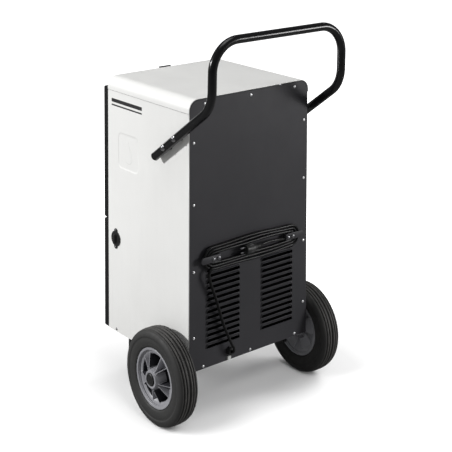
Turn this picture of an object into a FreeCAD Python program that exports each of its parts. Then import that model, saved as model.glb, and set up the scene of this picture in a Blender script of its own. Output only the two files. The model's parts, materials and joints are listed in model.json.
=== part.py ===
import FreeCAD, Part
import math
import os
import re
import Sketcher

# Commercial dehumidifier on two wheels: sheet-metal cabinet, push bar, water tank, filter and
# refrigeration circuit.  Lengths are millimetres.  Pieces are drawn in the cabinet's frame: X is 0
# on the middle plane, Y is 0 at mid depth with the front at -Y, and Z is 0 just above the floor.
# Each finished piece is then moved along Y by cabinet_y and up by lift, which puts the origin on
# the floor under the middle of the whole machine.

DIMENSIONS = {
    "cabinet_y": (-54.5, "cabinet centre, measured from the middle of the whole machine"),
    "lift": (6.5, "height of the cabinet's frame above the floor"),
    "cabinet_width": (450, "outside width of the cabinet"),
    "cabinet_depth": (407, "depth of the sheet-metal cabinet"),
    "cabinet_floor": (146, "underside of the cabinet"),
    "cabinet_top": (926, "top of the roof cover"),
    "roof_seam": (888, "lower edge of the roof cover"),
    "roof_bend": (30, "outside bend radius of the roof"),
    "sheet": (1.5, "thickness of the cabinet sheet"),
    "flange": (24, "width of the flanges the rear panel is screwed to"),
    "front_thickness": (22.4, "thickness of the two front mouldings"),
    "front_split": (485.5, "height of the gap between the two front mouldings"),
    "front_gap": (3, "gap between the two front mouldings"),
    "front_top": (894, "top of the upper front moulding"),
    "front_wall": (3, "wall of the front mouldings"),
    "partition_y": (-10, "front face of the upright partition"),
    "shelf_z": (490, "underside of the shelf over the tank"),
    "filter_half_width": (190, "half width of the filter cassette"),
    "filter_bottom": (506, "lower edge of the filter cassette"),
    "filter_top": (884, "upper edge of the filter cassette"),
    "filter_depth": (12, "depth of the filter cassette"),
    "filter_y": (-221.5, "front face of the filter cassette"),
    "filter_border": (14, "border of the filter cassette"),
    "tab_half_width": (22, "half width of the filter's pull tab"),
    "tab_top": (926.5, "top of the filter's pull tab"),
    "tab_y": (-214, "rear face of the filter's pull tab"),
    "tab_reach": (8, "how far the tab's lip stands forward"),
    "tab_thickness": (3, "thickness of the pull tab"),
    "grille_rib": (5, "half width of the rib between the two columns of slots"),
    "grille_half_width": (172, "half width of the air intake"),
    "grille_bottom": (520, "lowest intake slot"),
    "grille_pitch": (22, "pitch of the intake slots"),
    "grille_slot": (13, "height of an intake slot"),
    "bezel_half_width": (100, "half width of the control bezel"),
    "bezel_bottom": (805, "lower edge of the control bezel"),
    "bezel_top": (879, "upper edge of the control bezel"),
    "bezel_depth": (5.6, "depth of the control bezel"),
    "button_radius": (8, "radius of a push button"),
    "button_gap": (0.4, "gap around a push button"),
    "button_z": (824, "height of the button row"),
    "button_pitch": (34, "pitch of the button row"),
    "button_front": (-233, "front face of the buttons"),
    "button_depth": (4.2, "depth of a push button"),
    "button_flange": (1.2, "extra radius of the rim that keeps a button in"),
    "lamp_x": (52, "status lamps, from the middle plane"),
    "lamp_z": (856, "height of the status lamps"),
    "lamp_radius": (2.5, "radius of a status lamp"),
    "display_half_width": (34, "half width of the display lens"),
    "display_bottom": (843, "lower edge of the display lens"),
    "display_top": (869, "upper edge of the display lens"),
    "tank_half_width": (188, "half width of the water tank"),
    "tank_floor": (150, "underside of the water tank"),
    "tank_top": (398, "rim of the water tank"),
    "tank_rear": (-16, "rear face of the water tank"),
    "tank_wall": (3, "wall of the water tank"),
    "outlet_x": (150, "drip tray's outlet, over the tank's inlet"),
    "outlet_y": (-120, "drip tray's outlet, over the tank's inlet"),
    "grip_half_width": (70, "half width of the grip in the tank's front"),
    "grip_bottom": (440, "lower edge of the grip"),
    "grip_top": (470, "upper edge of the grip"),
    "grip_depth": (14, "depth of the grip"),
    "level_half_width": (8, "half width of the opening for the level window"),
    "level_bottom": (210, "lower edge of the opening for the level window"),
    "level_top": (380, "upper edge of the opening for the level window"),
    "float_y": (-120, "axis of the float's pin"),
    "float_z": (349, "axis of the float's pin"),
    "float_pin": (2, "radius of the float's pin"),
    "bail_z": (408, "axis of the tank's carrying bail"),
    "bail_y": (-150, "axis of the tank's carrying bail"),
    "bail_reach": (66, "length of the bail's arms"),
    "bail_radius": (4, "radius of the bail's wire"),
    "wheel_y": (136, "axle, behind the cabinet centre"),
    "axle_z": (130, "middle of the axle"),
    "wheel_radius": (136.5, "radius of the tyre: the axle's height plus the lift"),
    "tyre_inner_x": (239, "inner side of the tyre"),
    "tyre_outer_x": (304.3, "outer side of the tyre"),
    "rim_radius": (85, "radius of the rim's lip"),
    "rim_inner_x": (245, "inner side of the rim"),
    "rim_outer_x": (299, "outer side of the rim"),
    "rim_wall": (6, "wall of the rim's barrel"),
    "hub_radius": (26.5, "radius of the wheel hub"),
    "hub_outer_x": (311, "outer end of the wheel hub"),
    "axle_radius": (10, "radius of the axle"),
    "running_gap": (0.06, "radial clearance of a running fit"),
    "seat_gap": (0.05, "radial clearance of a fixed fit"),
    "cap_radius": (17.5, "radius of the axle caps"),
    "handle_radius": (12.5, "radius of the push bar's tube"),
    "handle_wall": (2, "wall of the push bar's tube"),
    "handle_x": (242, "side tubes, from the middle plane"),
    "bracket_inner_x": (176, "inner face of an axle bracket's plate"),
    "bracket_outer_x": (182, "outer face of an axle bracket's plate"),
    "bracket_half_depth": (26, "half depth of an axle bracket"),
    "handle_low_y": (65, "lower end of the side tubes"),
    "handle_low_z": (742, "lower end of the side tubes"),
    "handle_knee_y": (325, "corner of the side tubes"),
    "handle_knee_z": (931.2, "corner of the side tubes"),
    "handle_top_y": (329.5, "cross bar"),
    "handle_top_z": (1109.7, "cross bar"),
    "handle_knee_bend": (92, "bend radius at the corner"),
    "handle_top_bend": (85, "bend radius at the cross bar"),
    "bolt_radius": (4, "radius of the handle bolts"),
    "bolt_head": (7.5, "radius of the bolts' domed heads"),
    "bolt_first": (63, "first bolt, along the tube from its lower end"),
    "bolt_pitch": (62, "distance between the two bolts of a side"),
    "foot_front": (-132, "front of the foot strap"),
    "foot_rear": (-92, "rear of the foot strap"),
    "foot_half_width": (200, "half width of the foot strap"),
    "foot_sheet": (4, "thickness of the foot strap"),
    "foot_pad": (8, "height of the rubber pads"),
    "screw_radius": (2, "radius of the panel screws"),
    "screw_head": (4, "radius of the panel screws' heads"),
    "screw_head_height": (2.2, "height of the panel screws' heads"),
    "screw_length": (6, "length of the panel screws"),
    "screw_side_x": (209, "side rows of panel screws"),
    "screw_bottom_z": (154, "bottom row of panel screws"),
    "screw_top_z": (910.5, "top row of panel screws"),
    "louvre_length": (127, "length of a louvre"),
    "louvre_x": (102.75, "middle of a louvre column"),
    "louvre_bottom": (200.5, "lower edge of the lowest louvre"),
    "louvre_pitch": (17, "pitch of the louvres"),
    "louvre_group": (120.5, "distance between the two groups of louvres"),
    "louvre_height": (16, "height of a louvre, opening and hood together"),
    "louvre_opening": (11.5, "height of a louvre's opening"),
    "louvre_proud": (5, "how far a louvre stands off the panel"),
    "hook_z": (464.8, "height of the cable hooks"),
    "hook_inner_x": (124, "inner end of a cable hook's arm"),
    "hook_outer_x": (195, "outer end of a cable hook's arm"),
    "hook_reach": (18, "how far a cable hook stands off the panel"),
    "hook_height": (20, "height of a cable hook's arm"),
    "hook_thickness": (4.2, "thickness of a cable hook's arm"),
    "post_inner_x": (126, "inner end of a cable hook's post"),
    "post_outer_x": (148, "middle of the rounded outer end of a cable hook's post"),
    "post_radius": (9, "half the height of a cable hook's post"),
    "hook_screw_x": (132.4, "inner screw of a cable hook"),
    "hook_screw_pitch": (18.6, "distance between the two screws of a cable hook"),
    "hook_screw_head": (6, "radius of the hook screws' heads"),
    "hook_screw_height": (4, "height of the hook screws' heads"),
    "turn_first": (13.4, "innermost turn of cable, from the hooks' middle"),
    "turn_pitch": (8.8, "distance between two turns of cable"),
    "turn_depth": (9.4, "middle of the turns of cable, from the panel"),
    "turn_bow": (3.5, "how far the turns bow out at mid length"),
    "plug_depth": (20, "axis of the mains plug, from the panel"),
    "plug_z": (466.4, "height of the mains plug's axis"),
    "plug_radius": (14, "radius of the mains plug"),
    "plug_face_x": (37, "face of the mains plug"),
    "plug_length": (40, "length of the mains plug's body"),
    "plug_neck": (18, "length of the mains plug's neck"),
    "pin_radius": (2.4, "radius of the plug's pins"),
    "pin_length": (18, "length of the plug's pins"),
    "pin_offset": (6.5, "plug's pins, from the plug's axis"),
    "cable_radius": (4.2, "radius of the mains cable"),
    "gland_x": (80, "cable gland"),
    "gland_z": (174, "cable gland"),
    "gland_radius": (13, "radius of the cable gland's nut"),
    "drain_y": (-161, "drain port"),
    "drain_z": (435, "drain port"),
    "drain_radius": (21, "radius of the drain port's body"),
    "relief_front": (-150, "front edge of the pressed field"),
    "relief_rear": (-42.5, "rear edge of the pressed field"),
    "relief_bottom": (657, "lower edge of the pressed field"),
    "relief_top": (768, "upper edge of the pressed field"),
    "relief_depth": (0.7, "depth of the pressed field"),
    "coil_half_width": (176, "half width of the fin packs"),
    "coil_bottom": (524, "lower edge of the fin packs"),
    "coil_top": (872, "upper edge of the fin packs"),
    "coil_pitch": (42, "pitch of the coils' passes"),
    "coil_radius": (4.75, "radius of the coils' tube"),
    "evaporator_y": (-148, "middle of the evaporator"),
    "condenser_y": (-88, "middle of the condenser"),
    "fin_depth": (36, "depth of the fins"),
    "fin_thickness": (0.5, "thickness of a fin"),
    "fin_pitch": (12, "pitch of the fins"),
    "fan_z": (700, "height of the fan's axis"),
    "fan_radius": (142, "radius of the fan's blades"),
    "fan_ring": (150, "radius of the opening in the partition"),
    "fan_hub": (42, "radius of the fan's hub"),
    "fan_shaft": (5, "radius of the fan's shaft"),
    "fan_blades": (5, "number of blades"),
    "blade_pitch": (62, "angle between a blade and the plane of the fan, in degrees"),
    "blade_thickness": (2.5, "thickness of a blade"),
    "blade_chord": (60, "width of a blade"),
    "fan_front": (4, "front of the fan's hub"),
    "fan_rear": (40, "rear of the fan's hub"),
    "motor_radius": (46, "radius of the fan motor"),
    "motor_front": (44, "front of the fan motor"),
    "motor_rear": (112, "rear of the fan motor"),
    "compressor_x": (-95, "compressor"),
    "compressor_y": (92, "compressor"),
    "compressor_radius": (60, "radius of the compressor's shell"),
    "compressor_bottom": (166, "bottom of the compressor's shell"),
    "compressor_height": (236, "height of the compressor's shell"),
    "grommet_x": (62, "compressor's feet, along X from its axis"),
    "grommet_y": (50, "compressor's feet, along Y from its axis"),
    "capacitor_x": (150, "run capacitor"),
    "capacitor_y": (40, "run capacitor"),
    "capacitor_radius": (20, "radius of the run capacitor"),
    "coil_rows": (8, "passes of each coil"),
    "first_row": (27, "lowest pass above the fin packs' lower edge"),
    "coil_overhang": (18, "how far the coils stand out of the fin packs"),
    "pipe_radius": (4, "radius of the refrigerant pipes"),
    "pipe_x": (208, "upright pipes, from the middle plane"),
    "suction_z": (530, "suction pipe where it passes the partition"),
}

doc = FreeCAD.newDocument("dehumidifier")
sheet = doc.addObject("Spreadsheet::Sheet", "dims")
for row, (alias, (size, meaning)) in enumerate(DIMENSIONS.items(), start=1):
    sheet.set(f"A{row}", alias)
    sheet.set(f"B{row}", str(size))
    sheet.set(f"C{row}", meaning)
    sheet.setAlias(f"B{row}", alias)
doc.recompute()

NODES = []
SIDES = {"left": 1, "right": -1}


# ---------------------------------------------------------------- helpers

def on_sheet(text):
    """Turn a formula written with dimension names into one that reads the spreadsheet."""
    return re.sub(r"\b[a-z][a-z_]+\b(?!\()", lambda word: "dims." + word.group(0), str(text))


def bind(item, prop, text):
    item.setExpression(prop, on_sheet(text))


def place(item, x, y, z):
    for axis, text in zip("xyz", (x, y, z)):
        bind(item, f"Placement.Base.{axis}", text)


def node(label, item):
    """Name a finished piece and move it from the cabinet's frame to the machine's frame."""
    if isinstance(item, list):
        item = compound(item)
    item.Label = label
    bind(item, "Placement.Base.y", "cabinet_y")
    bind(item, "Placement.Base.z", "lift")
    NODES.append(item)
    return item


def block(x, y, z):
    """A box between two planes on each axis."""
    item = doc.addObject("Part::Box", "block")
    for prop, (low, high) in zip(("Length", "Width", "Height"), (x, y, z)):
        bind(item, prop, f"({high}) - ({low})")
    place(item, x[0], y[0], z[0])
    return item


def centred(half):
    """The two planes at plus and minus half."""
    return (f"-({half})", f"({half})")


TURNS = {
    "X": FreeCAD.Rotation(FreeCAD.Vector(0, 1, 0), 90),
    "Y": FreeCAD.Rotation(FreeCAD.Vector(1, 0, 0), -90),
    "Z": FreeCAD.Rotation(),
}


def cylinder(axis, x, y, z, radius, length):
    """A cylinder that starts at the given point and runs along +X, +Y or +Z."""
    item = doc.addObject("Part::Cylinder", "cylinder")
    bind(item, "Radius", radius)
    bind(item, "Height", length)
    item.Placement = FreeCAD.Placement(FreeCAD.Vector(), TURNS[axis])
    place(item, x, y, z)
    return item


def cone(axis, x, y, z, radius, end_radius, length):
    item = doc.addObject("Part::Cone", "cone")
    bind(item, "Radius1", radius)
    bind(item, "Radius2", end_radius)
    bind(item, "Height", length)
    item.Placement = FreeCAD.Placement(FreeCAD.Vector(), TURNS[axis])
    place(item, x, y, z)
    return item


def compound(items):
    item = doc.addObject("Part::Compound", "group")
    item.Links = items
    return item


def fuse(*items):
    item = doc.addObject("Part::MultiFuse", "joined")
    item.Shapes = list(items)
    return item


def cut(base, *tools):
    item = doc.addObject("Part::Cut", "trimmed")
    item.Base = base
    item.Tool = tools[0] if len(tools) == 1 else compound(list(tools))
    return item


def ring(axis, x, y, z, radius, bore, length):
    """A washer or sleeve."""
    return cut(cylinder(axis, x, y, z, radius, length), cylinder(axis, x, y, z, bore, length))


def new_body(name):
    return doc.addObject("PartDesign::Body", name)


def new_sketch(body, plane, shift="0"):
    """A sketch on one of the body's origin planes, moved along that plane's normal."""
    item = body.newObject("Sketcher::SketchObject", "profile")
    support = next(face for face in body.Origin.OriginFeatures if face.Role == plane)
    item.AttachmentSupport = [(support, "")]
    item.MapMode = "FlatFace"
    bind(item, "AttachmentOffset.Base.z", shift)
    return item


def outline(profile, corners):
    """A closed outline of straight lines whose corners are bound to the spreadsheet."""
    first = profile.GeometryCount
    count = len(corners)
    ring_of = [FreeCAD.Vector(math.cos(2 * math.pi * k / count), math.sin(2 * math.pi * k / count), 0)
               for k in range(count)]
    for k in range(count):
        profile.addGeometry(Part.LineSegment(ring_of[k], ring_of[(k + 1) % count]))
    for k in range(count):
        link = Sketcher.Constraint("Coincident", first + k, 2, first + (k + 1) % count, 1)
        profile.addConstraint(link)
    for k, corner in enumerate(corners):
        for kind, letter, text in zip(("DistanceX", "DistanceY"), "xy", corner):
            start = getattr(ring_of[k], letter)
            number = profile.addConstraint(Sketcher.Constraint(kind, -1, 1, first + k, 1, start))
            profile.renameConstraint(number, f"{letter}{first + k}")
            bind_constraint(profile, f"{letter}{first + k}", text)


def bind_constraint(profile, name, text):
    profile.setExpression(f"Constraints.{name}", on_sheet(text))


def circle(profile, x, y, radius):
    """A circle whose centre and radius are bound to the spreadsheet."""
    first = profile.GeometryCount
    profile.addGeometry(Part.Circle(FreeCAD.Vector(1, 1, 0), FreeCAD.Vector(0, 0, 1), 1))
    for kind, letter, text in (("DistanceX", "x", x), ("DistanceY", "y", y)):
        number = profile.addConstraint(Sketcher.Constraint(kind, -1, 1, first, 3, 1.0))
        profile.renameConstraint(number, f"{letter}{first}")
        bind_constraint(profile, f"{letter}{first}", text)
    number = profile.addConstraint(Sketcher.Constraint("Radius", first, 1.0))
    profile.renameConstraint(number, f"r{first}")
    bind_constraint(profile, f"r{first}", radius)


def grow(body, kind, profile, length, reverse=False, both=False):
    """A Pad or a Pocket."""
    item = body.newObject(f"PartDesign::{kind}", kind.lower())
    item.Profile = profile
    bind(item, "Length", length)
    item.Reversed = reverse
    item.Midplane = both
    return item


def revolve(body, profile, axis):
    """Turn a profile once around one of the body's origin axes."""
    item = body.newObject("PartDesign::Revolution", "turned")
    item.Profile = profile
    line = next(part for part in body.Origin.OriginFeatures if part.Role == axis)
    item.ReferenceAxis = (line, [""])
    item.Angle = 360
    return item


def round_edges(body, radius, chosen):
    """Fillet the edges of the body's last shape that the test picks."""
    doc.recompute()
    base = body.Tip
    names = [f"Edge{k}" for k, edge in enumerate(base.Shape.Edges, start=1) if chosen(edge)]
    item = body.newObject("PartDesign::Fillet", "rounded")
    item.Base = (base, names)
    bind(item, "Radius", radius)
    return item


def is_upright(edge):
    """True for a straight edge along Z."""
    box = edge.BoundBox
    return box.XLength < 1e-6 and box.YLength < 1e-6 and box.ZLength > 1


def is_along_y(edge):
    """True for a straight edge along Y."""
    box = edge.BoundBox
    return box.XLength < 1e-6 and box.ZLength < 1e-6 and box.YLength > 0.1


def bent_path(points, radius):
    """A wire through the points with its corners rounded; one radius, or one per corner."""
    points = [FreeCAD.Vector(*point) for point in points]
    radii = radius if isinstance(radius, list) else [radius] * (len(points) - 2)
    edges = []
    start = points[0]
    for before, corner, after, bend in zip(points, points[1:], points[2:], radii):
        towards = (before - corner).normalize()
        onward = (after - corner).normalize()
        half = towards.getAngle(onward) / 2
        first = corner + towards * (bend / math.tan(half))
        last = corner + onward * (bend / math.tan(half))
        middle = (towards + onward).normalize()
        apex = corner + middle * (bend / math.sin(half) - bend)
        if start.distanceToPoint(first) > 1e-6:
            edges.append(Part.makeLine(start, first))
        edges.append(Part.Arc(first, apex, last).toShape())
        start = last
    edges.append(Part.makeLine(start, points[-1]))
    return Part.Wire(edges)


def swept(path, radius):
    """A round rod along a wire."""
    tangent = path.Edges[0].tangentAt(path.Edges[0].FirstParameter)
    start = path.Edges[0].valueAt(path.Edges[0].FirstParameter)
    section = Part.Wire([Part.makeCircle(radius, start, tangent)])
    return path.makePipeShell([section], True, True)


def feature(shape):
    """A free-form piece that no primitive or sketch fits."""
    item = doc.addObject("Part::Feature", "swept")
    item.Shape = shape
    return item


def size(alias):
    return float(getattr(sheet, alias))


# ---------------------------------------------------------------- common places

INSIDE = "cabinet_width/2 - sheet"
COIL_TOP_ROW = "coil_bottom + first_row + (coil_rows - 1)*coil_pitch"
REAR = "cabinet_depth/2"
FRONT_FACE = "-cabinet_depth/2 - front_thickness"


def screw_sites():
    """The fourteen screws of the rear panel."""
    sites = []
    for x in ("-175", "0", "175"):
        sites.append((x, "screw_bottom_z"))
    for x in ("-170", "0", "170"):
        sites.append((x, "screw_top_z"))
    for side in SIDES.values():
        for z in ("244", "434.5", "627", "804"):
            sites.append((f"{side}*screw_side_x", z))
    return sites


def screw_holes():
    holes = []
    for x, z in screw_sites():
        start = f"{REAR} - screw_length - 1"
        holes.append(cylinder("Y", x, start, z, "screw_radius + 0.1", "screw_length + 2"))
    return holes


def bolt_points():
    """Where the handle bolts cross the side tubes, as (y, z)."""
    along = FreeCAD.Vector(0, size("handle_knee_y") - size("handle_low_y"),
                           size("handle_knee_z") - size("handle_low_z")).normalize()
    low = FreeCAD.Vector(0, size("handle_low_y"), size("handle_low_z"))
    steps = (size("bolt_first"), size("bolt_first") + size("bolt_pitch"))
    return [low + along * step for step in steps]


# ---------------------------------------------------------------- cabinet

def base_pan():
    tray = block(centred(INSIDE), (f"-{REAR} + sheet", f"{REAR} - 2*sheet"),
                 ("cabinet_floor", "cabinet_floor + 16"))
    hollow = block(centred(f"{INSIDE} - sheet"), (f"-{REAR}", f"{REAR} - 3*sheet"),
                   ("cabinet_floor + sheet", "cabinet_floor + 20"))
    return node("base_pan", cut(tray, hollow, *screw_holes()))


def side_panel(name):
    """A side panel, folded in at the front and the rear."""
    side = SIDES[name]
    outer = side_span(side, INSIDE, "cabinet_width/2")
    height = ("cabinet_floor", "roof_seam - 0.6")
    plate = block(outer, (f"-{REAR}", f"{REAR} - sheet"), height)
    front = block(side_span(side, "cabinet_width/2 - 15", INSIDE),
                  (f"-{REAR}", f"-{REAR} + sheet"), height)
    rear = block(side_span(side, "cabinet_width/2 - flange", INSIDE),
                 (f"{REAR} - 2*sheet", f"{REAR} - sheet"), height)
    relief = block(side_span(side, "cabinet_width/2 - relief_depth", "cabinet_width/2 + 1"),
                   ("relief_front", "relief_rear"), ("relief_bottom", "relief_top"))
    tools = [relief] + screw_holes()
    for point in bolt_points():
        tools.append(cylinder("X", f"{side}*cabinet_width/2 - 5", point.y, point.z,
                              "bolt_radius + 0.1", "10"))
    if side > 0:
        tools.append(cylinder("X", "cabinet_width/2 - 5", "drain_y", "drain_z", "drain_radius", "10"))
    return node(f"side_panel_{name}", cut(fuse(plate, front, rear), *tools))


def side_span(side, low, high):
    """Two planes at +low and +high on the left side, mirrored on the right side."""
    return (low, high) if side > 0 else (f"-({high})", f"-({low})")


def arched(body, half, bottom, top, length, radius):
    """Pad an upright slab from the rear of the cabinet forwards, with its two top corners rounded."""
    profile = new_sketch(body, "XZ_Plane", f"-{REAR}")
    outline(profile, [(f"-({half})", bottom), (half, bottom), (half, top), (f"-({half})", top)])
    grow(body, "Pad", profile, length)
    doc.recompute()
    crown = body.Shape.BoundBox.ZMax - 1
    round_edges(body, radius, lambda edge: is_along_y(edge) and edge.BoundBox.ZMin > crown)


def roof_cover():
    """An inverted tray: bent down over both sides and the front, open at the rear."""
    outer = new_body("roof_outside")
    arched(outer, "cabinet_width/2", "roof_seam", "cabinet_top", "cabinet_depth", "roof_bend")
    inner = new_body("roof_inside")
    arched(inner, INSIDE, "roof_seam - 5", "cabinet_top - sheet", "cabinet_depth - sheet",
           "roof_bend - sheet")
    return node("roof_cover", cut(outer, inner))


def rear_panel():
    """The rear panel with two columns of pressed louvres."""
    body = new_body("rear")
    arched(body, f"{INSIDE} - 0.3", "cabinet_floor", "cabinet_top - sheet - 0.4", "sheet",
           "roof_bend - sheet")
    holes = new_sketch(body, "XZ_Plane", f"-{REAR}")
    for x, z in screw_sites():
        circle(holes, x, z, "screw_radius + 0.1")
    circle(holes, "gland_x", "gland_z", "8.1")
    grow(body, "Pocket", holes, "sheet", reverse=True)
    lip = "louvre_bottom + louvre_opening"
    crown = "louvre_bottom + louvre_height"
    outer = f"{REAR} + louvre_proud"
    hood_profile = new_sketch(body, "YZ_Plane", "louvre_x")
    outline(hood_profile, [(f"{REAR} - 0.4", lip), (outer, lip),
                           (outer, f"{lip} + 1"), (f"{REAR} - 0.4", crown)])
    hood = grow(body, "Pad", hood_profile, "louvre_length", both=True)
    slot_profile = new_sketch(body, "YZ_Plane", "louvre_x")
    outline(slot_profile, [(f"{REAR} - 5", "louvre_bottom"), (f"{outer} + 1", "louvre_bottom"),
                           (f"{outer} + 1", lip), (f"{outer} - 1.2", lip),
                           (f"{outer} - 1.2", f"{lip} + 0.4"), (f"{REAR} - 5", f"{crown} + 2.4")])
    slot = grow(body, "Pocket", slot_profile, "louvre_length - 3", both=True)
    doc.recompute()
    repeat = body.newObject("PartDesign::MultiTransform", "louvres")
    repeat.Originals = [hood, slot]
    upright = next(part for part in body.Origin.OriginFeatures if part.Role == "Z_Axis")
    middle = next(part for part in body.Origin.OriginFeatures if part.Role == "YZ_Plane")
    rows = body.newObject("PartDesign::LinearPattern", "rows")
    rows.Direction = (upright, [""])
    bind(rows, "Length", "louvre_pitch*6")
    rows.Occurrences = 7
    groups = body.newObject("PartDesign::LinearPattern", "groups")
    groups.Direction = (upright, [""])
    bind(groups, "Length", "louvre_group")
    groups.Occurrences = 2
    columns = body.newObject("PartDesign::Mirrored", "columns")
    columns.MirrorPlane = (middle, [""])
    repeat.Transformations = [rows, groups, columns]
    body.Tip = repeat
    return node("rear_panel", body)


def fan_partition():
    """The upright partition that carries the fan."""
    plate = block(centred(INSIDE), ("partition_y", "partition_y + sheet"),
                  ("cabinet_floor + sheet", "cabinet_top - roof_bend"))
    opening = cylinder("Y", "0", "partition_y - 5", "fan_z", "fan_ring", "15")
    holes = [cylinder("Y", "-pipe_x", "partition_y - 5", z, "pipe_radius + 2", "15")
             for z in (COIL_TOP_ROW, "suction_z")]
    collar = ring("Y", "0", "partition_y + sheet", "fan_z", "fan_ring + 4", "fan_ring", "36")
    pan_edges = [block(side_span(side, f"{INSIDE} - sheet", INSIDE),
                       ("partition_y - 1", "partition_y + 3"),
                       ("cabinet_floor", "cabinet_floor + 16")) for side in SIDES.values()]
    return node("fan_partition", fuse(cut(plate, opening, *holes, *pan_edges), collar))


def divider_shelf():
    """The shelf between the tank bay and the air path."""
    plate = block(centred(INSIDE), (f"-{REAR} + sheet", "partition_y"),
                  ("shelf_z", "shelf_z + sheet"))
    outlet = cylinder("Z", "outlet_x", "outlet_y", "shelf_z - 5", "12", "15")
    return node("divider_shelf", cut(plate, outlet))


# ---------------------------------------------------------------- front

def front_frame():
    """The upper front moulding: intake grille and the pocket the filter slides in."""
    outer = block(centred("cabinet_width/2"), (FRONT_FACE, f"-{REAR}"),
                  ("front_split + front_gap/2", "front_top"))
    pocket = block(centred("filter_half_width + 0.8"),
                   ("filter_y - 0.8", "filter_y + filter_depth + 0.8"),
                   ("filter_bottom", "front_top + 1"))
    window = block(centred("grille_half_width + 4"), ("filter_y + filter_depth", f"-{REAR} + 1"),
                   ("grille_bottom - 6", "filter_top - 12"))
    slots = []
    for row in range(12):
        low = f"grille_bottom + {row}*grille_pitch"
        for side in SIDES.values():
            span = side_span(side, "grille_rib", "grille_half_width")
            slots.append(block(span, (f"{FRONT_FACE} - 1", "filter_y"),
                               (low, f"{low} + grille_slot")))
    return node("front_frame", cut(outer, pocket, window, *slots))


def filter_cassette():
    """The filter's frame with its pull tab, which stands up in front of the roof."""
    depth = ("filter_y", "filter_y + filter_depth")
    frame = cut(block(centred("filter_half_width"), depth, ("filter_bottom + 0.5", "filter_top")),
                block(centred("filter_half_width - filter_border"),
                      ("filter_y - 1", "filter_y + filter_depth + 1"),
                      ("filter_bottom + filter_border", "filter_top - filter_border")))
    bars = [block(centred("filter_half_width - filter_border"),
                  ("filter_y + 8", "filter_y + filter_depth"), (f"{z} - 3", f"{z} + 3"))
            for z in (600, 700, 790)]
    tab = block(centred("tab_half_width"), ("tab_y - tab_thickness", "tab_y"),
                ("filter_top - 4", "tab_top"))
    lip = block(centred("tab_half_width"), ("tab_y - tab_reach", "tab_y"),
                ("tab_top - tab_thickness", "tab_top"))
    return node("filter_cassette", fuse(frame, *bars, tab, lip))


def filter_mesh():
    """The washable filter mat."""
    mat = block(centred("filter_half_width - filter_border"), ("filter_y + 2", "filter_y + 8"),
                ("filter_bottom + filter_border", "filter_top - filter_border"))
    return node("filter_mesh", [mat])


BUTTONS = {"power_button": -1.5, "down_button": -0.5, "up_button": 0.5, "timer_button": 1.5}
BEZEL = ("-cabinet_depth/2 - front_thickness - bezel_depth", FRONT_FACE)


def control_bezel():
    shell = block(centred("bezel_half_width"), BEZEL, ("bezel_bottom", "bezel_top"))
    display = block(centred("display_half_width"), (f"{BEZEL[0]} - 1", f"{BEZEL[0]} + 2"),
                    ("display_bottom", "display_top"))
    tools = [display]
    for slot in BUTTONS.values():
        x = f"{slot}*button_pitch"
        tools.append(cylinder("Y", x, f"{BEZEL[0]} - 1", "button_z", "button_radius + button_gap",
                              "bezel_depth + 2"))
        tools.append(cylinder("Y", x, f"{BEZEL[0]} + 1.2", "button_z",
                              "button_radius + button_flange + button_gap", "bezel_depth"))
    for side in SIDES.values():
        tools.append(cylinder("Y", f"{side}*lamp_x", f"{BEZEL[0]} - 1", "lamp_z",
                              "lamp_radius + 0.1", "3"))
    return node("control_bezel", cut(shell, *tools))


def display_lens():
    lens = block(centred("display_half_width - 0.2"), (f"{BEZEL[0]} + 0.4", f"{BEZEL[0]} + 2"),
                 ("display_bottom + 0.2", "display_top - 0.2"))
    return node("display_lens", [lens])


def status_lamps():
    lamps = [cylinder("Y", f"{side}*lamp_x", f"{BEZEL[0]} - 0.2", "lamp_z", "lamp_radius", "2")
             for side in SIDES.values()]
    return node("status_lamps", lamps)


def push_button(name):
    """A round button with a rim behind the bezel that keeps it in."""
    x = f"{BUTTONS[name]}*button_pitch"
    face = cylinder("Y", x, "button_front", "button_z", "button_radius", "button_depth")
    rim = cylinder("Y", x, f"{BEZEL[0]} + 1.4", "button_z", "button_radius + button_flange", "1.2")
    return node(name, fuse(face, rim))


def controller_board():
    """The control board in its splash-proof tray behind the partition."""
    tray = cut(block(("60", "200"), ("partition_y + sheet", "30"), ("440", "520")),
               block(("62", "198"), ("partition_y + sheet + 2", "31"), ("442", "518")))
    board = block(("66", "194"), ("14", "15.6"), ("446", "514"))
    posts = [block((x, f"{x} + 4"), ("partition_y + sheet + 2", "14"), (z, f"{z} + 4"))
             for x in ("70", "186") for z in ("450", "506")]
    parts = [block(("84", "110"), ("15.6", "33"), ("458", "480")),
             block(("130", "172"), ("15.6", "27"), ("486", "500"))]
    return node("controller_board", [fuse(tray, *posts, board, *parts)])


# ---------------------------------------------------------------- water tank

def tank_front():
    """The lower front moulding, which comes away with the tank."""
    outer = block(centred("cabinet_width/2"), (FRONT_FACE, f"-{REAR}"),
                  ("cabinet_floor - 1", "front_split - front_gap/2"))
    grip = block(centred("grip_half_width"), (f"{FRONT_FACE} - 1", f"{FRONT_FACE} + grip_depth"),
                 ("grip_bottom", "grip_top"))
    level = block(centred("level_half_width"), (f"{FRONT_FACE} - 1", f"{FRONT_FACE} + 30"),
                  ("level_bottom", "level_top"))
    voids = [block(side_span(side, "14", "184"), (f"{FRONT_FACE} + front_wall", f"-{REAR} + 1"),
                   ("158", "430")) for side in SIDES.values()]
    return node("tank_front", cut(outer, grip, level, *voids))


def tank_window():
    """The clear strip that shows the water level."""
    strip = block(centred("level_half_width - 0.2"), (f"{FRONT_FACE} + 1", f"-{REAR}"),
                  ("level_bottom + 0.2", "level_top - 0.2"))
    return node("tank_window", [strip])


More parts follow.
